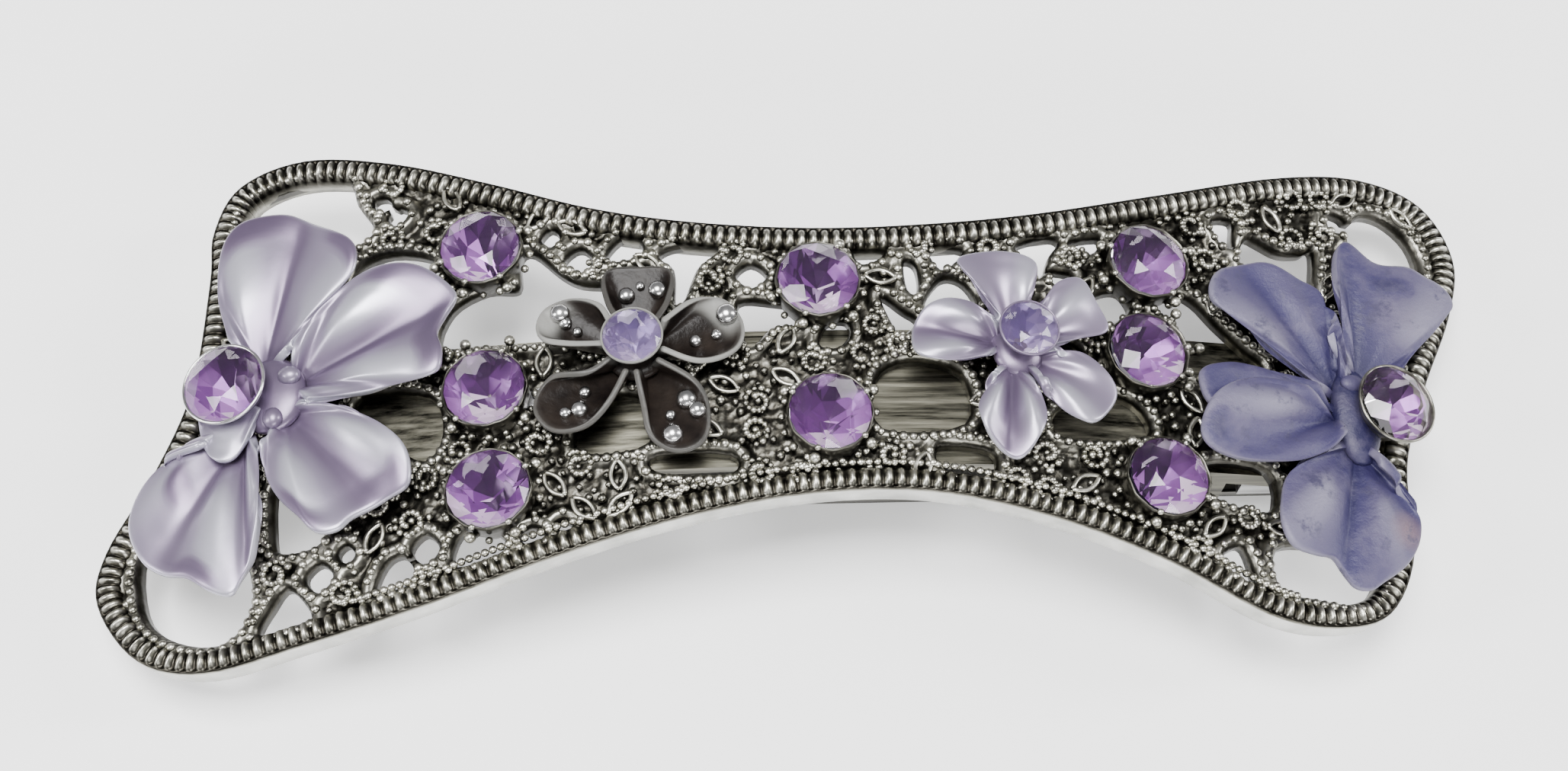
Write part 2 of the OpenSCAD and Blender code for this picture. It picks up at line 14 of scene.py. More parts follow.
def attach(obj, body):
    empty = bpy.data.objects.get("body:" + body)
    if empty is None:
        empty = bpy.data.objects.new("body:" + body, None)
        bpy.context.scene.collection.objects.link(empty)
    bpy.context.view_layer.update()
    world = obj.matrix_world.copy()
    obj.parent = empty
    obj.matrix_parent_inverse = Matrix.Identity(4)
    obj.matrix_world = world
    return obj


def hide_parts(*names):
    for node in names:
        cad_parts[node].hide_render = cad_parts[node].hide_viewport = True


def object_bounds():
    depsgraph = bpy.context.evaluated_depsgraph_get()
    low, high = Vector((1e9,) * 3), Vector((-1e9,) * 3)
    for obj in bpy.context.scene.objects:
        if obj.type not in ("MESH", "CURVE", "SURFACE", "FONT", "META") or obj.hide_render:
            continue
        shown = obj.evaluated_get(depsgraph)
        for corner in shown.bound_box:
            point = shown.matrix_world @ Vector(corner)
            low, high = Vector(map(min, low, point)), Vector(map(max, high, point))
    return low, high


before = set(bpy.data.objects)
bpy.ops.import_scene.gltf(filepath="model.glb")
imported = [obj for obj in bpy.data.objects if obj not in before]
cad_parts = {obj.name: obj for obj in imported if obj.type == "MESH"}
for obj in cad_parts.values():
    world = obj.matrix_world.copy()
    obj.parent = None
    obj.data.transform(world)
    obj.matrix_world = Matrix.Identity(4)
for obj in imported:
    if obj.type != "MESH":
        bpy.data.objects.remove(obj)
cad_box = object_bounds()
MM = 0.001
BODY = "ornament"

# The arch that the ornament follows, as the casting is drawn
ARCH_R = 127.0
CROWN_Z = 10.4


# ------------------------------ geometry helpers

def arch_z(x):
    return CROWN_Z - ARCH_R + np.sqrt(ARCH_R ** 2 - np.asarray(x, float) ** 2)


def on_arch(x, y, h):
    """Points at plan place x, y and height h, measured square to the arch."""
    x, y, h = np.broadcast_arrays(np.asarray(x, float), np.asarray(y, float), np.asarray(h, float))
    lean = x / ARCH_R
    return np.stack([x + h * lean, y, arch_z(x) + h * np.sqrt(1 - lean ** 2)], -1)


def smooth_curve(points, steps=6, closed=True):
    """Catmull-Rom curve through the points."""
    p = np.array(points, float)
    n = len(p)
    out = []
    for i in range(n if closed else n - 1):
        if closed:
            a, b, c, d = p[(i - 1) % n], p[i], p[(i + 1) % n], p[(i + 2) % n]
        else:
            a, b, c, d = p[max(i - 1, 0)], p[i], p[i + 1], p[min(i + 2, n - 1)]
        for s in range(steps):
            t = s / steps
            out.append(0.5 * (2 * b + (c - a) * t + (2 * a - 5 * b + 4 * c - d) * t * t
                              + (3 * b - a - 3 * c + d) * t ** 3))
    if not closed:
        out.append(p[-1])
    return np.array(out)


def evenly(points, spacing, closed=True):
    """Points spaced evenly along a curve, with the unit direction at each one."""
    p = np.vstack([points, points[:1]]) if closed else np.array(points)
    length = np.r_[0, np.cumsum(np.linalg.norm(np.diff(p, axis=0), axis=1))]
    count = max(3, int(round(length[-1] / spacing)))
    at = np.linspace(0, length[-1], count + (0 if closed else 1), endpoint=not closed)
    place = np.stack([np.interp(at, length, p[:, k]) for k in range(p.shape[1])], 1)
    if closed:
        along = np.roll(place, -1, 0) - np.roll(place, 1, 0)
    else:
        along = np.gradient(place, axis=0)
    return place, along / np.linalg.norm(along, axis=1)[:, None]


def smoothstep(low, high, v):
    t = np.clip((np.asarray(v, float) - low) / (high - low), 0, 1)
    return t * t * (3 - 2 * t)


def add_object(name, data):
    obj = bpy.data.objects.new(name, data)
    bpy.context.scene.collection.objects.link(obj)
    return obj


def mesh_object(name, verts, faces, look, tone=None, smooth=True):
    """A finished piece from vertices in millimetres.

    The look names its material. Tone is a 0 to 1 value at each vertex for the material.
    """
    mesh = bpy.data.meshes.new(name)
    corners = [tuple(v) for v in np.asarray(verts, float) * MM]
    mesh.from_pydata(corners, [], [tuple(map(int, f)) for f in faces])
    mesh.validate()
    if tone is not None:
        colour = mesh.color_attributes.new("tone", "FLOAT_COLOR", "POINT")
        values = np.ones((len(mesh.vertices), 4), np.float32)
        values[:, :3] = np.asarray(tone, float)[:, None]
        colour.data.foreach_set("color", values.ravel())
    obj = add_object(name, mesh)
    mesh.materials.append(MAT[look])
    if smooth:
        mesh.polygons.foreach_set("use_smooth", [True] * len(mesh.polygons))
    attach(obj, BODY)
    return obj


def rounded(obj):
    """Subdivides the piece once and turns all its modifiers into its mesh."""
    sub = obj.modifiers.new("round", "SUBSURF")
    sub.levels = sub.render_levels = 1
    graph = bpy.context.evaluated_depsgraph_get()
    mesh = bpy.data.meshes.new_from_object(obj.evaluated_get(graph))
    old = obj.data
    obj.modifiers.clear()
    obj.data = mesh
    bpy.data.meshes.remove(old)
    return obj


def angles(count):
    """Evenly spaced angles of one full turn."""
    return [2 * math.pi * k / count for k in range(count)]


def nearest(places, x, y):
    """Distance from a plan point to the nearest of the places."""
    return np.hypot(*(places - [x, y]).T).min() if len(places) else math.inf


def grid_faces(rows, cols, wrap_rows=False, wrap_cols=False):
    faces = []
    for i in range(rows if wrap_rows else rows - 1):
        for j in range(cols if wrap_cols else cols - 1):
            a, b = (i + 1) % rows, (j + 1) % cols
            faces.append((i * cols + j, a * cols + j, a * cols + b, i * cols + b))
    return faces


def ball_mesh():
    bm = bmesh.new()
    bmesh.ops.create_icosphere(bm, subdivisions=2, radius=1)
    verts = np.array([v.co for v in bm.verts])
    faces = np.array([[v.index for v in f.verts] for f in bm.faces])
    bm.free()
    return verts, faces


BALL_VERTS, BALL_FACES = ball_mesh()


class Pile:
    """Gathers many small plated shapes into one mesh."""

    def __init__(self):
        self.verts, self.faces, self.tone, self.count = [], [], [], 0

    def add(self, verts, faces, tone):
        self.verts.append(verts)
        self.faces += [tuple(i + self.count for i in f) for f in faces]
        self.tone.append(np.broadcast_to(tone, (len(verts),)))
        self.count += len(verts)

    def ball(self, x, y, h, r, flat, bright):
        """A ball at plan place x, y and height h, with a painted highlight on its top and painted shade at
        its foot.
        """
        shape = BALL_VERTS * [r, r, r * flat]
        self.add(on_arch(x + shape[:, 0], y + shape[:, 1], h + shape[:, 2]), BALL_FACES.tolist(),
                 np.clip((BALL_VERTS[:, 2] + 0.35) * 0.9, 0, 1) * bright)

    def finish(self, name):
        mesh_object(name, np.vstack(self.verts), self.faces, "plating", tone=np.concatenate(self.tone))


# ------------------------------ shapes, in plan

OUTLINE = [
    (-36, 8.5), (-36, 12), (-34.5, 15), (-30.5, 16.2), (-25, 15.2), (-19, 13.1), (-13, 10.9), (-7, 9.6),
    (0, 9), (7, 9.3), (14, 10.3), (22, 12.2), (30, 14.3), (35.5, 14.9), (39.6, 13.6), (41.3, 10),
    (40.2, 5.8), (37.4, 0.3), (35.3, -5), (34.8, -10.5), (32.6, -14.4), (29, -15.5), (25, -14.9),
    (19.5, -12), (13, -9.5), (6, -8), (-1, -8.1), (-8, -9.3), (-15, -11.2), (-22.5, -13.6), (-29, -15.2),
    (-34.5, -16.2), (-38.5, -15), (-41.2, -11.4), (-41, -8.2), (-38.5, -3.6), (-36.6, 1.5)]

# Openings in the filigree, the same as in the casting
OPENINGS = [
    [(-38.9, -8.4), (-36, -8), (-33.2, -9), (-32.2, -11.8), (-32.9, -13.8), (-34.5, -14.5), (-37, -13.7),
     (-38.6, -11.9)],
    [(-34, 13.6), (-31, 14.7), (-28, 14.6), (-27.2, 12.8), (-26.2, 10.8), (-28.5, 9.5), (-32.5, 9.5),
     (-34.2, 10.8)],
    [(-27, 8.3), (-25, 9.1), (-22.5, 8.5), (-22, 7.3), (-24, 6), (-27, 6)],
    [(-26.2, 13), (-25.5, 13.1), (-25.1, 12.5), (-25.9, 12.1)],
    [(-25.3, 11.8), (-24.6, 12.3), (-24.1, 11.8), (-24.8, 11.1)],
    [(-21.8, 2.7), (-21.2, 4.9), (-19.2, 6), (-17.3, 6), (-17.2, 7.9), (-16.5, 8.3), (-14.8, 6.7),
     (-13.6, 6), (-11.8, 5.6), (-11.7, 4), (-13, 3.2), (-15.6, 2.4), (-19, 2.4)],
    [(-16, 9.2), (-15.4, 9.9), (-14.9, 9.3), (-15.4, 8.7)],
    [(-14.6, 7.6), (-13.7, 8.4), (-12.9, 7.6), (-13.7, 6.8)],
    [(-12.2, 7.5), (-11.2, 8.9), (-10.1, 8.6), (-10.2, 7.7)],
    [(-9, 7.6), (-7.8, 8.2), (-5.2, 8.2), (-6.6, 6.9), (-7.1, 5.9), (-7.6, 4.6), (-8.1, 4.5), (-8.1, 6.6)],
    [(-4.5, 6.1), (-3.6, 6.9), (-2.7, 6.1), (-3.6, 5.3)],
    [(-4.4, 4.3), (-2.6, 4.3), (-0.6, 3.8), (-0.5, 2.8), (-2.4, 2.7), (-3.7, 1.4), (-4.2, 2.2)],
    [(0.2, 1.5), (0.7, 2.8), (1.8, 3), (2, 2.1), (1.3, 1.3)],
    [(2.6, 7.8), (4.3, 7.9), (4.1, 7.2), (2.9, 6.8)],
    [(5.5, 6.9), (6.1, 6.8), (6.3, 5.8), (6.1, 4.8), (5.6, 5.2)],
    [(4, 4.6), (5.2, 3.7), (6, 3), (5.1, 2.1), (4.5, 3)],
    [(7.1, 7.8), (9.1, 7.8), (8.5, 6.9), (7.7, 6.5)],
    [(6.6, 3.8), (7.6, 5.7), (8.8, 5.7), (9.6, 4.4), (9, 3)],
    [(12.4, 8.1), (14.2, 8.8), (15.1, 8.6), (14.4, 7.6), (14, 6.5), (13.5, 6.1), (13.1, 7.1)],
    [(15.7, 8.5), (17.6, 9), (17.5, 8.3), (16.8, 7.9)],
    [(14.3, 6.5), (15.6, 6.4), (15.2, 5.8), (14.6, 5.7)],
    [(16.8, 4.8), (18.3, 5.4), (19, 4.6), (18.9, 4), (17.6, 3.1), (17, 3.3)],
    [(14.5, 1.3), (15.1, 1.8), (15.8, 1), (14.8, 0.9)],
    [(20.6, 4.7), (22, 5.5), (23.2, 5), (24.4, 3.6), (26, 2), (27, 1.1), (26.5, 0), (23, 0), (21.9, 1.4),
     (22, 3.2)],
    [(25.1, 10.8), (26.4, 11), (26.3, 9.9), (26.2, 9), (25.4, 9.5)],
    [(26.6, 8.2), (27.2, 9.8), (28, 9.6), (29.3, 9), (30.8, 9.1), (31.6, 9.5), (31.3, 7.5), (30.8, 5.5),
     (28, 6)],
    [(32.9, 12.3), (34.1, 12.2), (34.3, 11.3), (33.2, 11.2)],
    [(34.2, 10.6), (35.2, 12.4), (37, 12.4), (38.6, 11), (38.9, 8.9), (37.4, 7.5), (35, 8)],
    [(22.9, -11.5), (23.4, -10.9), (24.2, -10.8), (24.6, -12.8), (24, -12.8)],
    [(26.2, -10.8), (29, -10.4), (32.3, -11), (32.2, -12.6), (30.8, -13.8), (28, -13.6), (26.2, -13.2)],
    [(-31.2, -5.3), (-29.8, -6), (-28.6, -7.2), (-28.4, -9), (-30.7, -9.4), (-31.2, -8)],
    [(-29.2, -11.1), (-28.4, -10.3), (-27.6, -11.1), (-28.4, -12)],
    [(-31.7, -14.1), (-31, -12.6), (-30.1, -11.6), (-28.7, -13.4), (-30, -13.9)],
    [(-27.4, -9.8), (-26.9, -9.3), (-26.4, -9.9), (-26.9, -10.4)],
    [(-25.2, -12.4), (-24.6, -10.7), (-23.6, -10.3), (-22.9, -11.7), (-24.3, -12.3)],
    [(-23.2, -10), (-22.4, -9.1), (-21.6, -10), (-22.4, -10.9)],
    [(-20.7, -11.2), (-20.4, -9.3), (-18.9, -9), (-17.8, -10.3)],
    [(-17.1, -9.7), (-16.4, -9.2), (-15.7, -9.7), (-16.4, -10.3)],
    [(-15.1, -9.2), (-14.6, -8.9), (-14.1, -9.2), (-14.6, -9.5)],
    [(-26.4, -0.2), (-22.4, -0.6), (-21.6, -3), (-22.6, -4.6), (-24.6, -3.4), (-26.6, -2.2)],
    [(3.4, -0.8), (5.4, 0.4), (8.4, -0.4), (8.4, -3.6), (3.6, -3.9)],
    [(15.8, -1.4), (18.6, -2), (19.2, -4), (14.6, -4.4), (13.6, -3.2)],
    [(-12.4, -1.4), (-10, -1.8), (-9.8, -4.4), (-13.2, -4.9), (-14, -3.6)],
    [(22.6, -5.6), (26.4, -5.8), (26.2, -8.4), (22.8, -7.6)],
    [(-9.4, -5.2), (-5.2, -5.3), (-5.2, -6.5), (-9.2, -6.3)],
    [(6.8, -5), (9.8, -5.3), (9.6, -6.8), (7, -6.5)]]

CRYSTALS = [
    (-19.3, 8.2), (-18.9, -1.0), (-18.6, -7.3), (0.2, 5.0), (0.5, -3.5), (20.0, 6.8), (19.3, 0.8),
    (19.6, -7.2)]
CRYSTAL_D = 4.7

# Heights above the arch
GIRDLE_H = 0.9
WEB_FACE = -0.3
WEB_BACK = -1.4
RIM_FOOT = -1.8


# ------------------------------ materials

class Look:
    """A procedural material. Noise scales are in cycles per metre of the object's own coordinates."""

    def __init__(self, name):
        self.material = bpy.data.materials.new(name)
        self.material.use_nodes = True
        self.nodes = self.material.node_tree.nodes
        self.links = self.material.node_tree.links
        self.shader = self.nodes["Principled BSDF"]

    def set(self, socket, value):
        self.shader.inputs[socket].default_value = value

    def link(self, socket, value):
        self.links.new(value, self.shader.inputs[socket])

    def noise(self, scale, detail=4.0, roughness=0.55, stretch=(1, 1, 1)):
        place = self.nodes.new("ShaderNodeTexCoord")
        mapping = self.nodes.new("ShaderNodeMapping")
        mapping.inputs["Scale"].default_value = stretch
        tex = self.nodes.new("ShaderNodeTexNoise")
        tex.inputs["Scale"].default_value = scale
        tex.inputs["Detail"].default_value = detail
        tex.inputs["Roughness"].default_value = roughness
        self.links.new(place.outputs["Object"], mapping.inputs["Vector"])
        self.links.new(mapping.outputs["Vector"], tex.inputs["Vector"])
        return tex.outputs["Fac"]

    def ramp(self, value, *stops):
        node = self.nodes.new("ShaderNodeValToRGB")
        self.links.new(value, node.inputs["Fac"])
        elements = node.color_ramp.elements
        while len(elements) < len(stops):
            elements.new(0.5)
        for element, (at, colour) in zip(elements, stops):
            element.position = at
            element.color = (*colour, 1)
        return node.outputs["Color"]

    def mix(self, fac, a, b):
        node = self.nodes.new("ShaderNodeMix")
        node.data_type = "RGBA"
        for socket, value in (("Factor", fac), ("A", a), ("B", b)):
            if isinstance(value, tuple):
                node.inputs[socket].default_value = (*value, 1)
            else:
                self.links.new(value, node.inputs[socket])
        return node.outputs["Result"]

    def scaled(self, value, low, high, top=1):
        """Low where the value is 0, high where it is at the top."""
        node = self.nodes.new("ShaderNodeMapRange")
        node.inputs["From Max"].default_value = top
        node.inputs["To Min"].default_value = low
        node.inputs["To Max"].default_value = high
        self.links.new(value, node.inputs["Value"])
        return node.outputs["Result"]

    def bump(self, height, strength, distance):
        node = self.nodes.new("ShaderNodeBump")
        node.inputs["Strength"].default_value = strength
        node.inputs["Distance"].default_value = distance
        self.links.new(height, node.inputs["Height"])
        self.link("Normal", node.outputs["Normal"])

    def near_point(self, place, reach):
        """1 at a place in millimetres, falling to 0 at the reach from it."""
        where = self.nodes.new("ShaderNodeTexCoord")
        far = self.nodes.new("ShaderNodeVectorMath")
        far.operation = "DISTANCE"
        far.inputs[1].default_value = [c * MM for c in place]
        self.links.new(where.outputs["Object"], far.inputs[0])
        return self.scaled(far.outputs["Value"], 1, 0, reach * MM)

    def tone(self):
        node = self.nodes.new("ShaderNodeAttribute")
        node.attribute_name = "tone"
        return node.outputs["Color"]


def plated_metal():
    """Black rhodium plating, with painted highlights on its high places and painted shade in its recesses,
    mixed in by the tone.
    """
    look = Look("dark_plating")
    grain = look.noise(900)
    high = look.ramp(grain, (0.3, (0.34, 0.33, 0.27)), (0.7, (0.86, 0.84, 0.74)))
    low = look.ramp(grain, (0.3, (0.006, 0.005, 0.004)), (0.8, (0.035, 0.032, 0.025)))
    look.link("Base Color", look.mix(look.tone(), low, high))
    look.set("Metallic", 1)
    look.link("Roughness", look.scaled(grain, 0.22, 0.42))
    look.bump(look.noise(2600, 6), 0.25, 0.0001)
    return look.material


def smooth_metal(name, scale, dark, light, metallic, rough, relief):
    """Smooth cast or plated metal; relief is the bump's noise scale, noise detail, strength and depth."""
    look = Look(name)
    grain = look.noise(scale)
    look.link("Base Color", look.ramp(grain, (0.3, dark), (0.7, light)))
    look.set("Metallic", metallic)
    look.link("Roughness", look.scaled(grain, *rough))
    look.bump(look.noise(*relief[:2]), *relief[2:])
    return look.material


def brushed(name, dark, light, rough):
    """Steel strip brushed along its length."""
    look = Look(name)
    streaks = look.noise(2200, 6, 0.65, (0.015, 1, 1))
    look.link("Base Color", look.ramp(streaks, (0.35, dark), (0.66, light)))
    look.set("Metallic", 1)
    look.link("Roughness", look.scaled(streaks, rough, rough + 0.2))
    look.bump(streaks, 0.3, 0.00005)
    return look.material


def pearl_enamel():
    """Pearly lilac enamel: painted shade in the folds shows mauve, painted highlights on the swells and edges
    show silvery.
    """
    look = Look("lilac_enamel")
    cloud = look.noise(260, 3)
    body = look.ramp(look.tone(), (0.0, (0.05, 0.03, 0.07)), (0.3, (0.135, 0.1, 0.165)),
                     (0.6, (0.27, 0.24, 0.32)), (1.0, (0.64, 0.66, 0.72)))
    look.link("Base Color", look.mix(look.scaled(cloud, 0.0, 0.45), body, (0.22, 0.18, 0.26)))
    look.set("Metallic", 0.55)
    look.link("Roughness", look.scaled(cloud, 0.28, 0.42))
    look.set("Coat Weight", 0.2)
    look.set("Coat Roughness", 0.18)
    look.bump(look.noise(1500, 5), 0.06, 0.0001)
    return look.material


def matte_enamel():
    """Blue-violet enamel, speckled dark, worn pale in clouds and rubbed brown at one place; the tone carries
    the petals' painted highlights and shade.
    """
    look = Look("violet_enamel")
    cloud = look.noise(300, 5, 0.6)
    body = look.ramp(look.tone(), (0.0, (0.01, 0.008, 0.045)), (0.3, (0.026, 0.021, 0.075)),
                     (0.65, (0.058, 0.049, 0.105)), (1.0, (0.2, 0.188, 0.25)))
    pale = look.ramp(cloud, (0.5, (0, 0, 0)), (0.75, (0.7, 0.7, 0.7)))
    worn = look.mix(pale, body, (0.115, 0.1, 0.155))
    worn = look.mix(look.near_point((33.3, -10.2, 7.4), 1.6), worn, (0.17, 0.1, 0.11))
    specks = look.ramp(look.noise(620, 6, 0.7), (0.56, (0, 0, 0)), (0.66, (0.85, 0.85, 0.85)))
    look.link("Base Color", look.mix(specks, worn, (0.035, 0.03, 0.07)))
    look.set("Metallic", 0.15)
    look.link("Roughness", look.scaled(cloud, 0.4, 0.6))
    look.bump(look.noise(900, 6, 0.7), 0.5, 0.0002)
    return look.material


def black_enamel():
    """Gloss black enamel that turns silver where the tone is high: thinned enamel at the spots, and a painted
    highlight along the petals' edges.
    """
    look = Look("black_enamel")
    grain = look.noise(600, 4)
    dark = look.ramp(grain, (0.3, (0.004, 0.003, 0.003)), (0.8, (0.02, 0.015, 0.012)))
    look.link("Base Color", look.mix(look.tone(), dark, (0.5, 0.5, 0.47)))
    look.set("Specular IOR Level", 0.12)
    look.link("Roughness", look.scaled(grain, 0.22, 0.42))
    look.set("Coat Weight", 0.03)
    look.set("Coat Roughness", 0.1)
    look.bump(look.noise(1100, 4), 0.35, 0.0002)
    return look.material


def foil(name, *stops):
    """Foiled back of a stone: each facet has its own tone, which paints its reflection and glints."""
    look = Look(name)
    look.link("Base Color", look.ramp(look.tone(), *stops))
    look.set("Metallic", 0.4)
    look.link("Roughness", look.scaled(look.noise(400, 3), 0.16, 0.34))
    return look.material


def clear_crown(name, tint):
    """Clear cut glass over the foil."""
    look = Look(name)
    grain = look.noise(300, 2)
    paler = tuple(min(1, c * 1.08) for c in tint)
    look.link("Base Color", look.ramp(grain, (0.3, tint), (0.7, paler)))
    look.set("Transmission Weight", 1)
    look.set("IOR", 1.46)
    look.link("Roughness", look.scaled(grain, 0.0, 0.03))
    return look.material


MAT = {
    "plating": plated_metal(),
    # The rim's outer wall: pale metal, a painted reflection of the pale floor on the dark plating
    "side": smooth_metal("cast_side_painted_reflection", 500, (0.34, 0.34, 0.32), (0.62, 0.62, 0.59), 0.9, (0.32, 0.5),
                         (1800, 6, 0.3, 0.0001)),
    "silver": smooth_metal("silver_plating", 700, (0.5, 0.5, 0.5), (0.82, 0.81, 0.8), 1, (0.15, 0.32),
                           (2200, 5, 0.15, 0.00008)),
    "base": brushed("brushed_base", (0.008, 0.008, 0.006), (0.24, 0.23, 0.18), 0.25),
    "steel": brushed("brushed_steel", (0.28, 0.28, 0.28), (0.6, 0.6, 0.6), 0.25),
    "arm": brushed("brushed_arm", (0.05, 0.05, 0.045), (0.34, 0.33, 0.3), 0.25),
    "pearl": pearl_enamel(),
    "violet": matte_enamel(),
    "black": black_enamel(),
    "foil": foil("violet_foil", (0.0, (0.03, 0.006, 0.045)), (0.35, (0.17, 0.05, 0.24)),
                 (0.7, (0.55, 0.24, 0.68)), (1.0, (1.0, 0.86, 1.0))),
    "pale_foil": foil("pale_foil", (0.0, (0.1, 0.07, 0.19)), (0.4, (0.27, 0.21, 0.39)),
                      (0.75, (0.48, 0.4, 0.6)), (1.0, (0.95, 0.88, 1.0))),
    "crown": clear_crown("clear_crown", (0.96, 0.9, 0.97)),
}


# ------------------------------ casting

def polygon_distance(points, polygon):
    """Signed distance to a closed polygon, negative inside."""
    best = np.full(len(points), 1e9)
    inside = np.zeros(len(points), bool)
    px, py = points[:, 0].copy(), points[:, 1].copy()
    for p, q in zip(polygon, np.roll(polygon, -1, 0)):
        ex, ey = q - p
        dx, dy = px - p[0], py - p[1]
        t = np.clip((dx * ex + dy * ey) / (ex * ex + ey * ey), 0, 1)
        best = np.minimum(best, (dx - t * ex) ** 2 + (dy - t * ey) ** 2)
        if ey != 0:
            inside ^= ((p[1] > py) != (q[1] > py)) & (dx < ex * dy / ey)
    best = np.sqrt(best)
    return np.where(inside, -best, best)


EDGE = smooth_curve(OUTLINE)
HOLES = [smooth_curve(h, 4) for h in OPENINGS]
WELLS = np.array(CRYSTALS)
UNDER_RIM = 0.7   # distance from the outline to the web's edge, under the rim
WIRE = 0.42       # half width and height of the wire round each opening


def metal_depth(points):
    """How far inside the web's metal each plan point is; negative in an opening or past the rim."""
    depth = -polygon_distance(points, EDGE) - UNDER_RIM
    reach = 1.6
    for hole in HOLES:
        near = ((points > hole.min(0) - reach) & (points < hole.max(0) + reach)).all(1)
        if near.any():
            depth[near] = np.minimum(depth[near], polygon_distance(points[near], hole))
    return depth


def web():
    """The filigree plate: a raised wire round every opening and a pebbled ground between."""
    pitch, reach_x, reach_y = 0.2, 41.6, 16.6
    xs = np.arange(-reach_x, reach_x + pitch / 2, pitch)
    ys = np.arange(-reach_y, reach_y + pitch / 2, pitch)
    gx, gy = np.meshgrid(xs, ys, indexing="ij")
    points = np.stack([gx.ravel(), gy.ravel()], 1)
    depth = metal_depth(points)
    # Grid points near an edge of the metal move onto it
    for _ in range(2):
        close = np.abs(depth) < 0.75 * pitch
        step = 0.02
        slope = np.stack([metal_depth(points[close] + [step, 0]) - metal_depth(points[close] - [step, 0]),
                          metal_depth(points[close] + [0, step]) - metal_depth(points[close] - [0, step])], 1)
        slope /= np.maximum(np.linalg.norm(slope, axis=1), 1e-6)[:, None]
        points[close] -= slope * depth[close, None]
        depth[close] = 0
    solid = depth >= -1e-6
    rows, cols = gx.shape
    quads = []
    for i in range(rows - 1):
        for j in range(cols - 1):
            q = (i * cols + j, (i + 1) * cols + j, (i + 1) * cols + j + 1, i * cols + j + 1)
            if solid[list(q)].all() and depth[list(q)].max() > 0.01:
                quads.append(q)
    used = sorted({v for q in quads for v in q})
    index = {v: n for n, v in enumerate(used)}
    at, d = points[used], depth[used]
    ring = np.sqrt(np.clip(1 - ((d - WIRE) / WIRE) ** 2, 0, 1))
    pebbles = np.random.default_rng(7).random((rows, cols)).ravel()[used]
    ground = smoothstep(2 * WIRE - 0.15, 2 * WIRE + 0.1, d)
    foot = WEB_FACE - WIRE
    # Painted light in the tone: the wire's crest is painted bright as a highlight, the sunken ground near
    # black as shade, and pebble tops get small painted highlights.
    top = np.where(d < 2 * WIRE, foot + WIRE * ring, foot) + ground * (0.2 * pebbles - 0.15)
    tone = np.where(d < 2 * WIRE, 0.04 + 0.4 * ring ** 3, 0.02) + ground * 0.22 * pebbles ** 4
    count = len(used)
    verts = np.vstack([on_arch(at[:, 0], at[:, 1], top), on_arch(at[:, 0], at[:, 1], WEB_BACK)])
    faces = [tuple(index[v] for v in q) for q in quads]
    # Walls stand on the edges that only one quad has
    edges = {}
    for f in faces:
        for k in range(4):
            a, b = f[k], f[(k + 1) % 4]
            if edges.pop((b, a), None) is None:
                edges[(a, b)] = True
    walls = [(b, a, a + count, b + count) for a, b in edges]
    under = [tuple(v + count for v in reversed(f)) for f in faces]
    tones = np.concatenate([tone, np.full(count, 0.12)])
    return mesh_object("filigree_web", verts, faces + under + walls, "plating", tone=tones)


def rim():
    """The ridged rim: a smooth outer wall, cross ridges on top and a plain inner wall."""
    spacing, ridge_pitch, relief, sink = 0.085, 0.68, 0.26, 0.06
    place, along = evenly(EDGE, spacing)
    inward = np.stack([along[:, 1], -along[:, 0]], 1)
    travelled = np.arange(len(place)) * spacing
    ridges = (0.5 + 0.5 * np.cos(2 * np.pi * travelled / ridge_pitch)) ** 0.8
    profile = [  # distance inwards, height, share of the ridge's relief, tone
        (0.10, RIM_FOOT, 0, 0.5), (0.0, RIM_FOOT + 0.15, 0, 0.55), (0.0, -0.9, 0, 0.6), (0.0, -0.3, 0, 0.5),
        (0.05, -0.12, 0, 0.03), (0.16, -0.1, 0, 0.02), (0.24, -0.16, 0.5, 0.1), (0.36, -0.12, 1, 0.7),
        (0.6, -0.06, 1.15, 1), (0.85, -0.06, 1.15, 1), (1.1, -0.12, 1.1, 0.8), (1.3, -0.26, 0.8, 0.5),
        (1.42, -0.45, 0.2, 0.1), (1.5, -0.7, 0, 0.25), (1.46, -1.2, 0, 0.5), (1.4, RIM_FOOT + 0.05, 0, 0.4),
        (1.25, RIM_FOOT, 0, 0.3)]
    # Painted light in the tone: ridge crests are painted bright as highlights and grooves dark as shade, a
    # dark line of painted shade runs along the outer top edge, and the inner wall is painted pale grey.
    rows, tones = [], []
    for inset, height, share, bright in profile:
        at = place + inward * inset
        rows.append(on_arch(at[:, 0], at[:, 1], height - share * sink + share * relief * ridges))
        tones.append(bright * ridges ** 2.2 if share else np.full(len(place), bright))
    verts = np.stack(rows, 1).reshape(-1, 3)
    faces = [tuple(reversed(f)) for f in grid_faces(len(place), len(profile), True, True)]
    obj = mesh_object("ridged_rim", verts, faces, "plating", tone=np.stack(tones, 1).ravel())
    obj.data.materials.append(MAT["side"])
    wall = {0, 1, 2, len(profile) - 1}
    sides = [int(i % len(profile) in wall) for i in range(len(faces))]
    obj.data.polygons.foreach_set("material_index", sides)


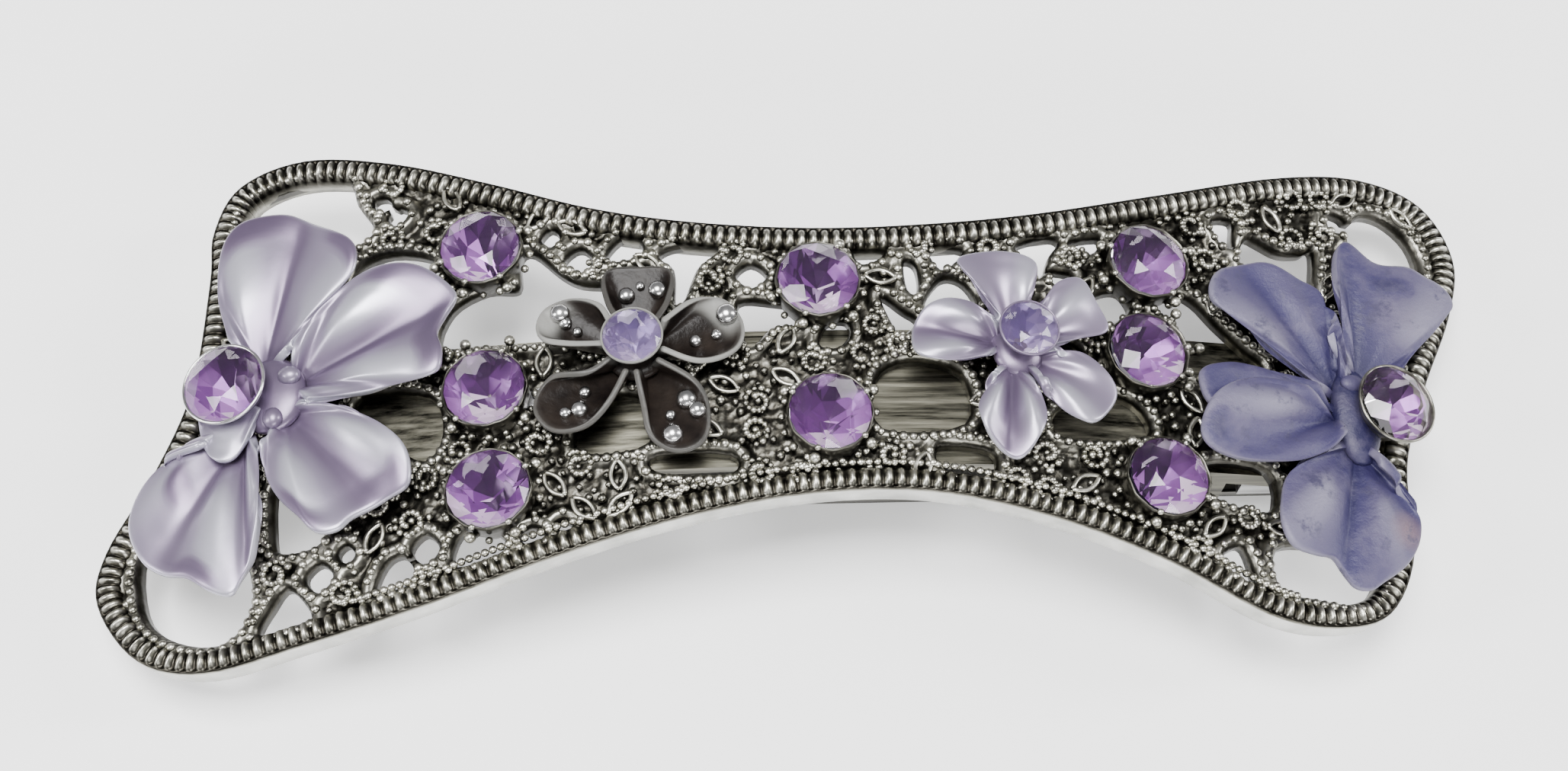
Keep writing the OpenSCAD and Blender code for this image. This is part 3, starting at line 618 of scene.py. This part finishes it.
def beads():
    """Beaded wire round the openings, a bead row inside the front rim, and loose grains between."""
    rng = random.Random(11)
    pile = Pile()
    bead_pitch, row_pitch, grain_gap, wire_gap, stone_room = 0.56, 0.46, 0.5, 0.75, 2.7
    for hole in HOLES:
        place, along = evenly(hole, bead_pitch)
        outward = np.stack([-along[:, 1], along[:, 0]], 1)
        area = 0.5 * np.sum(hole[:, 0] * np.roll(hole[:, 1], -1) - np.roll(hole[:, 0], -1) * hole[:, 1])
        outward *= -1 if area > 0 else 1
        place = place + WIRE * outward
        for (x, y), depth in zip(place, metal_depth(place)):
            if depth > 0.2 and nearest(WELLS, x, y) > stone_room:
                pile.ball(x, y, WEB_FACE + rng.uniform(-0.02, 0.08), rng.uniform(0.22, 0.3), 0.85,
                          rng.uniform(0.45, 1.0))
    inset, row_end, row_room = 1.72, 27, 2.6
    for (x, y), (u, v) in zip(*evenly(EDGE, row_pitch)):
        x, y = x + inset * v, y - inset * u
        if abs(x) < row_end and y < 0 and nearest(WELLS, x, y) > row_room:
            pile.ball(x, y, -0.28, 0.24, 0.9, rng.uniform(0.6, 1.0))
    half_x, half_y, tries = 40, 15.5, 6000
    tried = np.array([(rng.uniform(-half_x, half_x), rng.uniform(-half_y, half_y)) for _ in range(tries)])
    kept = np.zeros((0, 2))
    for x, y in tried[metal_depth(tried) > wire_gap]:
        if nearest(kept, x, y) > grain_gap and nearest(WELLS, x, y) > stone_room:
            kept = np.vstack([kept, [x, y]])
            pile.ball(x, y, WEB_FACE - 0.32 + rng.uniform(0, 0.25), rng.uniform(0.17, 0.3), 0.9,
                      rng.uniform(0.1, 1.0))
    pile.finish("filigree_beads")


def tube(points, radius, sides=6):
    """A round wire along points, closed at its ends, with the height of each vertex on the wire."""
    p = np.asarray(points, float)
    along = np.gradient(p, axis=0)
    along /= np.linalg.norm(along, axis=1)[:, None]
    across = np.cross(along, [0, 0, 1.0])
    across /= np.maximum(np.linalg.norm(across, axis=1)[:, None], 1e-6)
    up = np.cross(across, along)
    turn = np.arange(sides) * 2 * np.pi / sides
    c, s = np.cos(turn)[None, :, None], np.sin(turn)[None, :, None]
    rows = p[:, None] + radius * (c * across[:, None] + s * up[:, None])
    n = len(p)
    faces = grid_faces(n, sides, False, True)
    faces += [tuple(range(sides)), tuple(reversed(range((n - 1) * sides, n * sides)))]
    return rows.reshape(-1, 3), faces, np.tile(np.sin(turn), n)


def scrolls():
    """Small cast spirals and leaves that fill the wider grounds of the filigree."""
    rng = random.Random(23)
    pile = Pile()
    stone_room, scroll_room, least_room, largest, spiral_share, spiral_turn = 3.5, 1.75, 0.7, 0.85, 0.55, 7
    kept = np.zeros((0, 2))
    half_x, half_y, tries = 39, 15, 5000
    tried = np.array([(rng.uniform(-half_x, half_x), rng.uniform(-half_y, half_y)) for _ in range(tries)])
    for (x, y), room in zip(tried, metal_depth(tried)):
        if room < least_room or nearest(WELLS, x, y) < stone_room or nearest(kept, x, y) < scroll_room:
            continue
        kept = np.vstack([kept, [x, y]])
        size = min(largest, room + 0.1)
        start, way = rng.uniform(0, 6.28), rng.choice([-1, 1])
        if rng.random() < spiral_share:
            for step in np.linspace(0, 1, 15):
                r, a = size * (1 - 0.6 * step), start + way * step * spiral_turn
                pile.ball(x + r * np.cos(a), y + r * np.sin(a), WEB_FACE + 0.12 * step,
                          rng.uniform(0.16, 0.24), 1.0, rng.uniform(0.4, 1))
            continue
        along = 2 * np.linspace(0, 1, 14) - 1
        bend = size * 1.1 * along
        side = way * 0.5 * size * (1 - along ** 2)
        c, s = math.cos(start), math.sin(start)
        for flip, radius, bright in ((-1, 0.15, 0.85), (1, 0.17, rng.uniform(0.6, 1))):
            path = on_arch(x + bend * c - flip * side * s, y + bend * s + flip * side * c, WEB_FACE + 0.04)
            verts, faces, rise = tube(path, radius)
            # Painted highlight along the top of each wire, from the rise round the tube
            pile.add(verts, faces, np.clip(rise + 0.2, 0, 1) * bright)
    pile.finish("filigree_scrolls")


def loop_ring():
    """A small open ring of beads by the small lilac flower."""
    pile = Pile()
    (x, y), (half_w, half_h) = (16.6, 2.1), (0.8, 0.65)
    for a in angles(12):
        pile.ball(x + half_w * math.cos(a), y + half_h * math.sin(a), WEB_FACE + 0.25, 0.24, 1.0, 0.85)
    pile.finish("filigree_ring")


# Ball-ended claws beside each crystal: turn in degrees and distance from its middle
CLAWS = [
    [(200, 2.9), (250, 3.0), (300, 3.1), (20, 2.9)],
    [(66, 3.3), (112, 3.2), (230, 2.9), (320, 3.0)],
    [(150, 2.9), (250, 2.9), (300, 3.0), (30, 3.0)],
    [(200, 2.9), (250, 2.9), (310, 3.0), (60, 2.8)],
    [(30, 2.9), (150, 2.9), (250, 2.9), (320, 2.9)],
    [(160, 2.9), (205, 3.1), (300, 2.9), (20, 3.0)],
    [(52, 3.4), (8, 3.3), (318, 3.1), (150, 2.9)],
    [(60, 3.0), (130, 2.9), (250, 2.9), (330, 3.0)]]


def stone_cups():
    """Cast cups and ball-ended claws that hold the eight crystals."""
    rng = random.Random(5)
    pile = Pile()
    turns, mouth, brim = 48, 2.42, 0.8
    profile = [  # radius and height
        (2.1, WEB_BACK), (2.3, -0.8), (mouth, 0.1), (2.47, 0.75), (2.44, 0.92), (2.37, 0.95), (2.3, 0.6),
        (1.2, -0.9)]
    for (cx, cy), claws in zip(CRYSTALS, CLAWS):
        # Painted light in the tone: the cup's brim is painted brighter than its wall as a highlight, and the
        # claws and balls get painted highlights on top.
        verts, tones = [], []
        for a in angles(turns):
            wave = 0.03 * math.cos(12 * a)
            for r, h in profile:
                verts.append(on_arch(cx + (r + wave) * math.cos(a), cy + (r + wave) * math.sin(a), h))
                tones.append(0.14 if h > brim else 0.06)
        pile.add(np.array(verts), grid_faces(turns, len(profile), True), np.array(tones))
        for turn, reach in claws:
            c, s = math.cos(math.radians(turn)), math.sin(math.radians(turn))
            stalk = np.linspace(2.35, reach, 6)
            path = on_arch(cx + stalk * c, cy + stalk * s, np.linspace(-0.3, 0.45, 6))
            wire, faces, rise = tube(path, 0.2)
            pile.add(wire, faces, np.clip(rise, 0, 1) * 0.6)
            pile.ball(cx + reach * c, cy + reach * s, 0.55, 0.33, 1.0, 0.9)
            pile.ball(cx + mouth * c, cy + mouth * s, 0.95, 0.2, 0.9, 0.8)
        foot_ring = 2.72
        for a in angles(17):
            pile.ball(cx + foot_ring * math.cos(a + cx), cy + foot_ring * math.sin(a + cx), -0.1,
                      rng.uniform(0.2, 0.28), 0.9, rng.uniform(0.3, 0.95))
    pile.finish("stone_cups")


# ------------------------------ stones

def cut_stone(node, at, diameter, girdle, foil_look, turn, lean=0):
    """A round cut stone: a clear faceted crown over a foiled back, whose facets each have their own painted
    tone of reflected light.
    """
    name = node + "_cut"
    rng = random.Random(name)
    r = diameter / 2
    turned = Matrix.Rotation(math.asin(at[0] / ARCH_R) + lean, 3, "Y")
    centre = Vector(on_arch(at[0], at[1], girdle))

    def ring(radius, h, count, shift=0.0):
        """Corners at a radius and height given as shares of the stone's radius."""
        corners = [turn + 2 * math.pi * (k + shift) / count for k in range(count)]
        return [(radius * r * math.cos(a), radius * r * math.sin(a), h * r) for a in corners]

    def placed(points):
        return [tuple(centre + turned @ Vector(p)) for p in points]

    n = 8
    points = ring(1, -0.1, 2 * n) + ring(1, 0.02, 2 * n) + ring(0.8, 0.2, n, 0.5) + ring(0.52, 0.34, n)
    edge, belt, table = 2 * n, 4 * n, 5 * n
    faces = [tuple(range(2 * n - 1, -1, -1)), tuple(range(table, table + n))]
    for k in range(2 * n):
        faces.append((k, (k + 1) % (2 * n), edge + (k + 1) % (2 * n), edge + k))
    for k in range(n):
        m0, m1 = belt + k, belt + (k - 1) % n
        faces.append((edge + 2 * k, edge + (2 * k + 1) % (2 * n), m0))
        faces.append((edge + 2 * k + 1, edge + (2 * k + 2) % (2 * n), m0))
        faces.append((edge + 2 * k, m0, table + k, m1))
        faces.append((m0, table + (k + 1) % n, table + k))
    crown = mesh_object(name + "_crown", placed(points), faces, "crown", smooth=False)
    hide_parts(node)

    back = ring(0.985, -0.12, 2 * n) + ring(0.45, -0.5, n, 0.25) + [(0, 0, -0.72 * r)]
    inner = 2 * n
    cuts = []
    for k in range(n):
        a, b, c = 2 * k, 2 * k + 1, (2 * k + 2) % (2 * n)
        p, q = inner + k, inner + (k + 1) % n
        cuts += [(a, b, p), (b, c, q), (b, q, p), (p, q, inner + n)]
    verts, tones, split = [], [], []
    solid = placed(back)
    # Painted light: the facets on the far side are painted darker and get fewer painted glints, and those
    # towards the front are painted brighter
    middle_tone, tone_swing, spread = 0.42, 0.48, 0.18
    for f in cuts:
        middle = sum((Vector(back[i]) for i in f), Vector()) / 3
        swing = math.sin(math.atan2(middle.y, middle.x))
        glint = 0.55 if rng.random() < (0.2 if swing < 0 else 0.05) else 0
        tone = min(1, max(0, middle_tone - tone_swing * swing + rng.uniform(-spread, spread) + glint))
        split.append(tuple(range(len(verts), len(verts) + 3)))
        verts += [solid[i] for i in f]
        tones += [tone] * 3
    mesh_object(name + "_foil", verts, split, foil_look, tone=tones, smooth=False)


def setting(flower, at, diameter, rise, cup_look, lip_look, foot):
    """A flared cup with a thin lip on a rivet stem, for the stone at a flower's heart."""
    r = diameter / 2
    stem_r, stem_foot, turns = 0.6, -1.4, 64
    profile = [  # radius and height
        (0.05, stem_foot), (stem_r, stem_foot + 0.02), (stem_r, 0.9), (foot, 1.15),
        (foot * 1.05, rise - 0.7 * r), (0.8 * r, rise - 0.4 * r), (0.98 * r, rise - 0.12 * r),
        (r, rise - 0.02), (0.9 * r, rise - 0.2 * r), (0.3, rise - 0.8 * r), (0.05, rise - 0.8 * r)]
    edge = [(0.97 * r, rise - 0.2), (1.035 * r, rise - 0.12), (1.05 * r, rise + 0.02), (1.02 * r, rise + 0.1),
            (0.98 * r, rise + 0.08), (0.96 * r, rise - 0.1)]
    lean = Matrix.Rotation(math.asin(at[0] / ARCH_R), 3, "Y")
    origin = Vector(on_arch(at[0], at[1], 0))
    for part, rows, look in (("cup", profile, cup_look), ("lip", edge, lip_look)):
        closed = part == "lip"
        verts = [tuple(origin + lean @ Vector((q * math.cos(a), q * math.sin(a), h)))
                 for a in angles(turns) for q, h in rows]
        faces = grid_faces(turns, len(rows), True, closed)
        if not closed:
            faces.append(tuple(k * len(rows) for k in range(turns)))
            faces.append(tuple(reversed([k * len(rows) + len(rows) - 1 for k in range(turns)])))
        obj = mesh_object(f"{flower}_setting_{part}", verts, faces, look, tone=np.full(len(verts), 0.35))
        if part == "cup":
            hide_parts(f"{flower}_stone_cup")


# ------------------------------ petals

def petal(name, base, outline, look, low=0.9, high=1.9, folds=(), cup=0.3, curl=0.25, thick=0.5,
          edge_tone=0.9, base_tone=0.12, body_tone=0.42, bowl=0.0, spots=()):
    """A petal fanned from its base to an outline, counterclockwise.

    Folds are (place across 0 to 1, height, width), and spots are (place across, place out, radius, tone).
    """
    spacing, rings = 0.28, 24
    curve, _ = evenly(smooth_curve(outline, 8, closed=False), spacing, closed=False)
    count = len(curve)
    t = np.linspace(0, 1, count)[None, :]
    r = np.linspace(0, 1, rings)[:, None] ** 0.9
    base = np.array(base, float)
    at = base + (curve[None] - base) * r[..., None]
    height = low + (high - low) * np.sin(0.5 * np.pi * np.minimum(1, r * 1.25))
    height = height + cup * r ** 2 * np.abs(2 * t - 1) ** 2
    height = height + bowl * (r ** 3 - 0.6)
    tone = base_tone + (body_tone - base_tone) * smoothstep(0.05, 0.6, r) + 0 * t
    # Each fold is also painted into the tone: a painted highlight along a ridge, and painted shade along a
    # valley where the height is negative
    for place, rise, width in folds:
        swell = np.exp(-((t - place) / width) ** 2) * smoothstep(0.05, 0.55, r) * (1 - 0.35 * r ** 3)
        height = height + rise * swell
        tone = tone + 0.85 * rise * swell
    # The end curls in waves and drops, and the edge and sides are painted bright as a highlight
    height = height + curl * smoothstep(0.8, 1.0, r) * (0.5 + 0.5 * np.cos(5 * np.pi * t)) - 0.2 * r ** 6
    edge = smoothstep(0.95, 1.0, r) + 0 * t
    side = np.maximum(smoothstep(0.05, 0.0, t), smoothstep(0.95, 1.0, t)) * smoothstep(0.25, 0.6, r)
    tone = np.clip(tone, 0, 1)
    tone = tone + (edge_tone - tone) * np.maximum(edge, side) * 0.8
    for place, out, radius, bright in spots:
        share = np.exp(-(((t - place) ** 2 + (r - out) ** 2) / radius ** 2) ** 2)
        tone = tone + (bright - tone) * share
        height = height + 0.1 * share
    verts = on_arch(at[..., 0], at[..., 1], height).reshape(-1, 3)
    obj = mesh_object(name, verts, grid_faces(rings, count), look, tone=tone.ravel())
    solid = obj.modifiers.new("thick", "SOLIDIFY")
    solid.thickness = thick * MM
    solid.offset = -1
    return rounded(obj)


def lump(name, at, h, size, look, tone):
    """A soft rounded knob."""
    shape = BALL_VERTS * size
    verts = on_arch(at[0] + shape[:, 0], at[1] + shape[:, 1], h + shape[:, 2])
    rounded(mesh_object(name, verts, BALL_FACES.tolist(), look, tone=np.full(len(BALL_VERTS), tone)))


def drops(petals):
    """Silver drops of worn plating that sit on the black petals."""
    verts = np.array([v.co for piece in petals for v in piece.data.vertices]) / MM
    shapes, faces = [], []
    for x, y, r in DROPS:
        near = np.hypot(verts[:, 0] - x, verts[:, 1] - y) < 0.3
        z = verts[near, 2].max() if near.any() else float(arch_z(x)) + 1.0
        faces += (BALL_FACES + len(BALL_VERTS) * len(shapes)).tolist()
        shapes.append(BALL_VERTS * [r, r, 0.8 * r] + [x, y, z + 0.1])
    mesh_object("black_flower_drops", np.vstack(shapes), faces, "silver")


# Each flower's petals: name, base, outline counterclockwise, and petal()'s other values
LILAC = [
    ("lilac_petal_top", (-31.7, 1.2),
     [(-29.7, 2.5), (-28, 4.5), (-26.2, 6.8), (-26.4, 8.8), (-28.6, 10.3), (-30.6, 11.4), (-33.1, 11.1),
      (-34.2, 9.4), (-34.3, 6.4), (-33.5, 3.2)],
     dict(folds=[(0.26, 0.5, 0.14), (0.48, -0.3, 0.04), (0.68, 0.6, 0.12), (0.9, 0.2, 0.05)],
          spots=[(0.62, 0.93, 0.12, 0.12), (0.33, 0.95, 0.07, 0.15)])),
    ("lilac_petal_right", (-29.8, 0.2),
     [(-28.5, -1.3), (-26.4, -1.4), (-24, -1), (-21.3, -0.6), (-20.9, 0.8), (-21.3, 2.2), (-20.9, 3.6),
      (-20.4, 4.9), (-22.1, 6.5), (-24.2, 6.9), (-26.1, 6.3), (-27.8, 4.8), (-29.6, 2.6)],
     dict(folds=[(0.1, 0.3, 0.06), (0.32, 0.65, 0.1), (0.5, -0.4, 0.07), (0.68, 0.7, 0.1), (0.92, 0.3, 0.05)],
          high=2.0,
          spots=[(0.4, 0.93, 0.1, 0.12), (0.66, 0.9, 0.1, 0.15)])),
    ("lilac_petal_low", (-30.2, -1.4),
     [(-31, -3.5), (-30.8, -5.6), (-30, -7.2), (-28.8, -8.5), (-27.7, -9.6), (-26.5, -9.5), (-25.7, -8.7),
      (-24.2, -7.9), (-22.8, -7.2), (-22.6, -6), (-23, -4.6), (-24.1, -3.4), (-25.6, -2.4), (-27.4, -1.6),
      (-28.6, -1.3)],
     dict(folds=[(0.28, 0.65, 0.12), (0.49, -0.3, 0.06), (0.68, 0.6, 0.12), (0.92, 0.25, 0.05)],
          high=1.8,
          spots=[(0.27, 0.9, 0.09, 0.15), (0.56, 0.9, 0.08, 0.2)])),
    ("lilac_petal_left", (-32.6, -2.2),
     [(-34.4, -3.7), (-36.7, -4.2), (-37.9, -5.3), (-38.5, -6.9), (-38.4, -8.4), (-37.5, -10.1),
      (-36.2, -11), (-34.9, -11.4), (-33.6, -12.3), (-32.3, -12.7), (-31.7, -11.7), (-31.3, -10.2),
      (-30.9, -8.2), (-31, -6), (-31.3, -4)],
     dict(folds=[(0.25, 0.4, 0.12), (0.43, -0.2, 0.04), (0.56, 0.6, 0.09), (0.7, -0.2, 0.04),
                 (0.84, 0.45, 0.08)],
          spots=[(0.52, 0.93, 0.07, 0.15), (0.3, 0.55, 0.1, 0.15)])),
    ("lilac_calyx", (-33, -0.6),
     [(-34.8, -1.6), (-34.5, -3.4), (-33.5, -4.6), (-32.5, -4.5), (-31.8, -3.2), (-31.2, -1.4)],
     dict(folds=[(0.5, 0.3, 0.2)], low=1.6, high=2.2, cup=0.1, body_tone=0.6))]

VIOLET = [
    ("violet_petal_top_left", (30.7, -1.4),
     [(30.9, -0.2), (30.4, 2.5), (30.3, 5.1), (28.8, 6), (27, 6.8), (25.7, 6.7), (23.9, 6.1), (23.1, 5),
      (23, 3.9), (23.8, 2.9), (26, 1.2), (28.8, -1.2)],
     dict(folds=[(0.12, 0.25, 0.05), (0.2, -0.3, 0.03), (0.38, 0.25, 0.05), (0.48, -0.2, 0.04),
                 (0.65, 0.55, 0.12)])),
    ("violet_petal_top_right", (32, -0.8),
     [(34.2, 0), (35.8, 1.8), (37.4, 3.4), (38.4, 4.6), (38.9, 5.4), (38.4, 6.4), (37.2, 7.1), (36.2, 7.7),
      (34.2, 7.8), (32.6, 9.2), (31.7, 7.9), (31.2, 5.3), (31, 1)],
     dict(folds=[(0.35, 0.6, 0.14), (0.66, -0.25, 0.05), (0.82, 0.35, 0.06)],
          spots=[(0.5, 0.8, 0.07, 0.05)])),
    ("violet_petal_back", (30.2, -2.4),
     [(26, -3.4), (23.4, -3.4), (22, -2.6), (21.8, -0.9), (23.1, -0.4), (24.7, -0.5), (26.5, -0.8),
      (29, -1.3)],
     dict(folds=[(0.6, 0.25, 0.15)], low=1.0, high=1.5, body_tone=0.3)),
    ("violet_petal_left", (30.4, -3.2),
     [(30, -4.4), (28.7, -5.6), (26.7, -6.3), (24.7, -6.6), (22.9, -6.5), (21.5, -5.8), (21.2, -4.6),
      (22.2, -2.7), (24.6, -1.6), (28, -1.8)],
     dict(folds=[(0.25, 0.15, 0.08), (0.66, 0.6, 0.13)], high=2.1, spots=[(0.55, 0.9, 0.06, 0.05)])),
    ("violet_petal_low", (31.2, -4.6),
     [(28.8, -5.6), (26.4, -6.9), (25.5, -8.8), (25.3, -10.4), (25.9, -11.7), (27.4, -12.1), (28.6, -12.2),
      (29.3, -13.6), (30.3, -13.9), (31.3, -13.3), (32.6, -12.4), (33.7, -11), (34.2, -9.5), (33.7, -8.4),
      (33, -7.2), (31.8, -6.2)],
     dict(folds=[(0.3, 0.6, 0.12), (0.48, -0.4, 0.045), (0.66, 0.5, 0.08), (0.82, -0.2, 0.04)]))]

BLACK = [
    ("black_petal_top", (-10.2, 1.2),
     [(-9.2, 2.2), (-8.5, 3.6), (-8.3, 5.5), (-10.1, 5.8), (-11.9, 5.6), (-11.7, 3.6), (-11, 2.2)],
     dict(edge_tone=0.1)),
    ("black_petal_upper_left", (-11, 0.9),
     [(-11.8, 1.9), (-12.6, 3.4), (-14.2, 3.9), (-15.6, 3.2), (-15.8, 1.8), (-14.2, 1.2), (-12, 0.9)],
     dict(spots=[(0.5, 0.88, 0.14, 0.4)])),
    ("black_petal_upper_right", (-9.4, 1),
     [(-8.8, 0.4), (-6.6, -0.4), (-4.6, 0.3), (-4.2, 1.9), (-5.2, 3.4), (-6.8, 3.3), (-8.6, 1.8)],
     dict(spots=[(0.62, 0.85, 0.14, 0.4)])),
    ("black_petal_lower_left", (-10.8, 0),
     [(-11.5, -0.3), (-13, -1.2), (-15.2, -1.3), (-16, -2.9), (-15, -4.3), (-13.3, -4.2), (-12, -2.9),
      (-10.9, -0.9)],
     dict(edge_tone=0.15)),
    ("black_petal_lower_right", (-9.8, -0.1),
     [(-10.1, -1), (-9.7, -3.2), (-9.3, -5.2), (-8, -6), (-6.6, -5.4), (-6.3, -3.6), (-7, -2), (-9.2, -0.6)],
     dict(edge_tone=0.15))]

# Silver drops on the black petals: place and radius
DROPS = [
    (-10.9, 4.1, 0.5), (-9.1, 4.3, 0.55), (-10.1, 4.6, 0.26), (-14.4, 2.5, 0.4), (-13.7, 2.0, 0.3),
    (-14.7, 3.0, 0.6), (-5.2, 2.4, 0.65), (-5.8, 1.3, 0.32), (-7, 1.1, 0.38), (-13.6, -3, 0.5),
    (-14.4, -3.2, 0.34), (-13.3, -1.8, 0.36), (-7.6, -2.7, 0.6), (-7, -3.5, 0.5), (-8.4, -4.9, 0.6),
    (-8.5, -3.6, 0.32)]

SMALL = [
    ("small_petal_top", (11.2, 1.5),
     [(12, 2.6), (12.7, 4.4), (12.7, 5.9), (10.5, 6.6), (8.2, 6), (9, 4.4), (10.2, 2.4)],
     dict(folds=[(0.3, 0.5, 0.12), (0.7, 0.2, 0.1)])),
    ("small_petal_upper_right", (12.3, 1.2),
     [(13.4, 0.4), (15, 0.9), (16.8, 1.6), (16.1, 3.6), (15.4, 4.9), (14, 4.6), (13, 3.2)],
     dict(folds=[(0.6, 0.5, 0.14)])),
    ("small_petal_lower_right", (12, -0.2),
     [(12.6, -1.8), (13.2, -3.4), (15, -4.6), (16.4, -3.5), (16.9, -2.3), (16.2, -1), (15, 0), (13.6, 0)],
     dict(folds=[(0.35, 0.5, 0.12), (0.7, 0.25, 0.1)])),
    ("small_petal_low", (11, -0.6),
     [(9.9, -1.7), (8.7, -3.4), (8.9, -4.9), (9.8, -6), (10.8, -6.7), (11.8, -5.8), (12.6, -4.2),
      (12.3, -2.4)],
     dict(folds=[(0.3, 0.5, 0.1), (0.5, -0.35, 0.08), (0.72, 0.5, 0.1)])),
    ("small_petal_left", (10.4, 0.8),
     [(9.9, 2.1), (8.8, 3.1), (7.4, 3.3), (6.1, 2.7), (5.3, 1.3), (5.4, -0.3), (7.1, -0.8), (9.6, -0.4)],
     dict(folds=[(0.3, 0.45, 0.12), (0.48, -0.3, 0.06), (0.66, 0.45, 0.12)]))]


# ------------------------------ studio

def floor():
    """A plain pale sweep under the object."""
    lowest = cad_box[0][2]
    size, n = 1.2, 24
    verts = [(size * (i / n - 0.5), size * (j / n - 0.5), lowest) for i in range(n + 1) for j in range(n + 1)]
    mesh = bpy.data.meshes.new("floor")
    mesh.from_pydata(verts, [], grid_faces(n + 1, n + 1))
    look = Look("pale_floor")
    look.link("Base Color", look.ramp(look.noise(40, 3), (0.3, (0.9, 0.9, 0.9)), (0.7, (0.93, 0.93, 0.93))))
    look.set("Roughness", 0.7)
    look.set("Emission Color", (1, 1, 1, 1))
    look.set("Emission Strength", 0.42)
    mesh.materials.append(look.material)
    add_object("floor", mesh)


def area_light(name, place, size, power):
    """A rectangular light that faces the object."""
    data = bpy.data.lights.new(name, "AREA")
    data.shape = "RECTANGLE"
    data.size, data.size_y = size
    data.energy = power
    obj = add_object(name, data)
    obj.location = place
    obj.rotation_euler = (Vector((0, 0, 0)) - Vector(place)).to_track_quat("-Z", "Y").to_euler()


def lights():
    area_light("top", (-0.05, 0.0, 0.42), (0.2, 0.2), 3.6)
    area_light("left", (-0.4, -0.1, 0.25), (0.1, 0.25), 1.6)
    area_light("front", (0.1, -0.4, 0.2), (0.3, 0.08), 1.4)
    area_light("right", (0.4, 0.05, 0.22), (0.08, 0.25), 1.4)
    world = bpy.data.worlds.new("studio")
    world.use_nodes = True
    background = world.node_tree.nodes["Background"].inputs
    background["Color"].default_value = (0.9, 0.9, 0.92, 1)
    background["Strength"].default_value = 0.3
    bpy.context.scene.world = world


def camera():
    """The view: from the front left, high above, rolled a little, and close."""
    azimuth, elevation, roll = math.radians(-8.17), math.radians(63.9), math.radians(6.48)
    distance, shift_x, shift_y = 128.25, -1.556, -1.344
    target = Vector((-0.377, 0.021, CROWN_Z))
    back = Vector((math.sin(azimuth) * math.cos(elevation), -math.cos(azimuth) * math.cos(elevation),
                   math.sin(elevation)))
    right = Vector((0, 0, 1)).cross(back).normalized()
    up = back.cross(right)
    right, up = right * math.cos(roll) + up * math.sin(roll), up * math.cos(roll) - right * math.sin(roll)
    place = (target + right * shift_x + up * shift_y + back * distance) * MM
    data = bpy.data.cameras.new("camera")
    data.sensor_width = 36
    data.lens = 51.36
    data.clip_start = 0.005
    obj = add_object("camera", data)
    turned = Matrix((right, up, back)).transposed().to_4x4()
    obj.matrix_world = Matrix.Translation(place) @ turned
    bpy.context.scene.camera = obj


# ------------------------------ assembly

camera()
lights()
floor()

casting = web()
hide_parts("filigree_casting")
rim()
beads()
scrolls()
loop_ring()
stone_cups()

TURNS = [0.1, 0.5, 0.3, 0.75, 0.2, 0.4, 0.6, 0.15]
LEANS = [0, 0, 0, 0, 0, 0.05, 0.11, 0.05]
for number, (place, turn, lean) in enumerate(zip(CRYSTALS, TURNS, LEANS), 1):
    cut_stone(f"crystal_{number}", place, CRYSTAL_D, GIRDLE_H, "foil", turn, lean)

# The flowers' stones: flower, place, diameter, girdle height, foil, turn and lean, then the looks of the
# setting's cup and lip, and its foot's radius
FLOWER_STONES = [
    ("lilac", (-33, -0.2), 4.8, 3.2, "foil", 0.3, 0, "pearl", "silver", 1.7),
    ("violet", (33, -2.6), 4.8, 3.2, "foil", 0.5, 0.08, "plating", "plating", 1.5),
    ("black", (-10.4, 0.8), 3.4, 2.6, "pale_foil", 0.2, 0, "black", "black", 1.1),
    ("small", (11.8, 1.0), 3.4, 2.6, "pale_foil", 0.6, 0, "pearl", "pearl", 1.1)]
for flower, *stone, _, _, _ in FLOWER_STONES:
    cut_stone(f"{flower}_stone", *stone)

ENAMEL = {
    "lilac_flower": (LILAC, "pearl", {}),
    "violet_flower": (VIOLET, "violet", dict(edge_tone=0.95, base_tone=0.05, body_tone=0.4, curl=0.15)),
    "black_flower": (BLACK, "black", dict(
        low=0.8, high=1.4, cup=0.5, curl=0, bowl=0.9, edge_tone=0.5, base_tone=0, body_tone=0, thick=0.35)),
    "small_lilac_flower": (SMALL, "pearl", dict(low=0.8, high=1.7, curl=0.1, thick=0.4))}
for node, (petals, look, common) in ENAMEL.items():
    pieces = [petal(name, base, outline, look, **{**common, **own}) for name, base, outline, own in petals]
    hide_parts(node)
    if node == "black_flower":
        drops(pieces)

# Knobs at the flowers' hearts: name, place, height, half sizes, look and tone
for row in [
        ("lilac_heart", (-31, -0.4), 1.3, (2.2, 2.6, 0.8), "pearl", 0.25),
        ("lilac_bud_upper", (-29.8, 0.5), 1.9, (0.7, 0.6, 0.5), "pearl", 0.5),
        ("lilac_bud_lower", (-30.6, -2.1), 1.9, (0.6, 0.7, 0.5), "pearl", 0.35),
        ("violet_bud", (31.2, -0.9), 1.9, (0.8, 0.6, 0.4), "violet", 0.6),
        ("violet_heart", (31.4, -2.8), 1.3, (1.6, 3.4, 0.9), "violet", 0.03),
        ("black_heart", (-10.3, 0.6), 0.8, (1.9, 1.9, 0.5), "black", 0.0),
        ("small_heart", (11.5, 0.5), 0.9, (1.7, 2.0, 0.7), "pearl", 0.2)]:
    lump(*row)

for flower, place, diameter, girdle, _, _, _, *finish in FLOWER_STONES:
    setting(flower, place, diameter, girdle, *finish)

# The clip's CAD nodes keep their shapes and get these looks
for look, nodes in {
        "base": ("base_bar", "clasp_bracket"),
        "silver": ("base_rivets", "clasp_rivet"),
        "arm": ("closure_arm",),
        "steel": ("tab_pins", "hinge_pin", "spring_pin", "tension_bar", "pinch_tab_front",
                  "pinch_tab_back")}.items():
    for node in nodes:
        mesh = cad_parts[node].data
        mesh.materials.clear()
        mesh.materials.append(MAT[look])
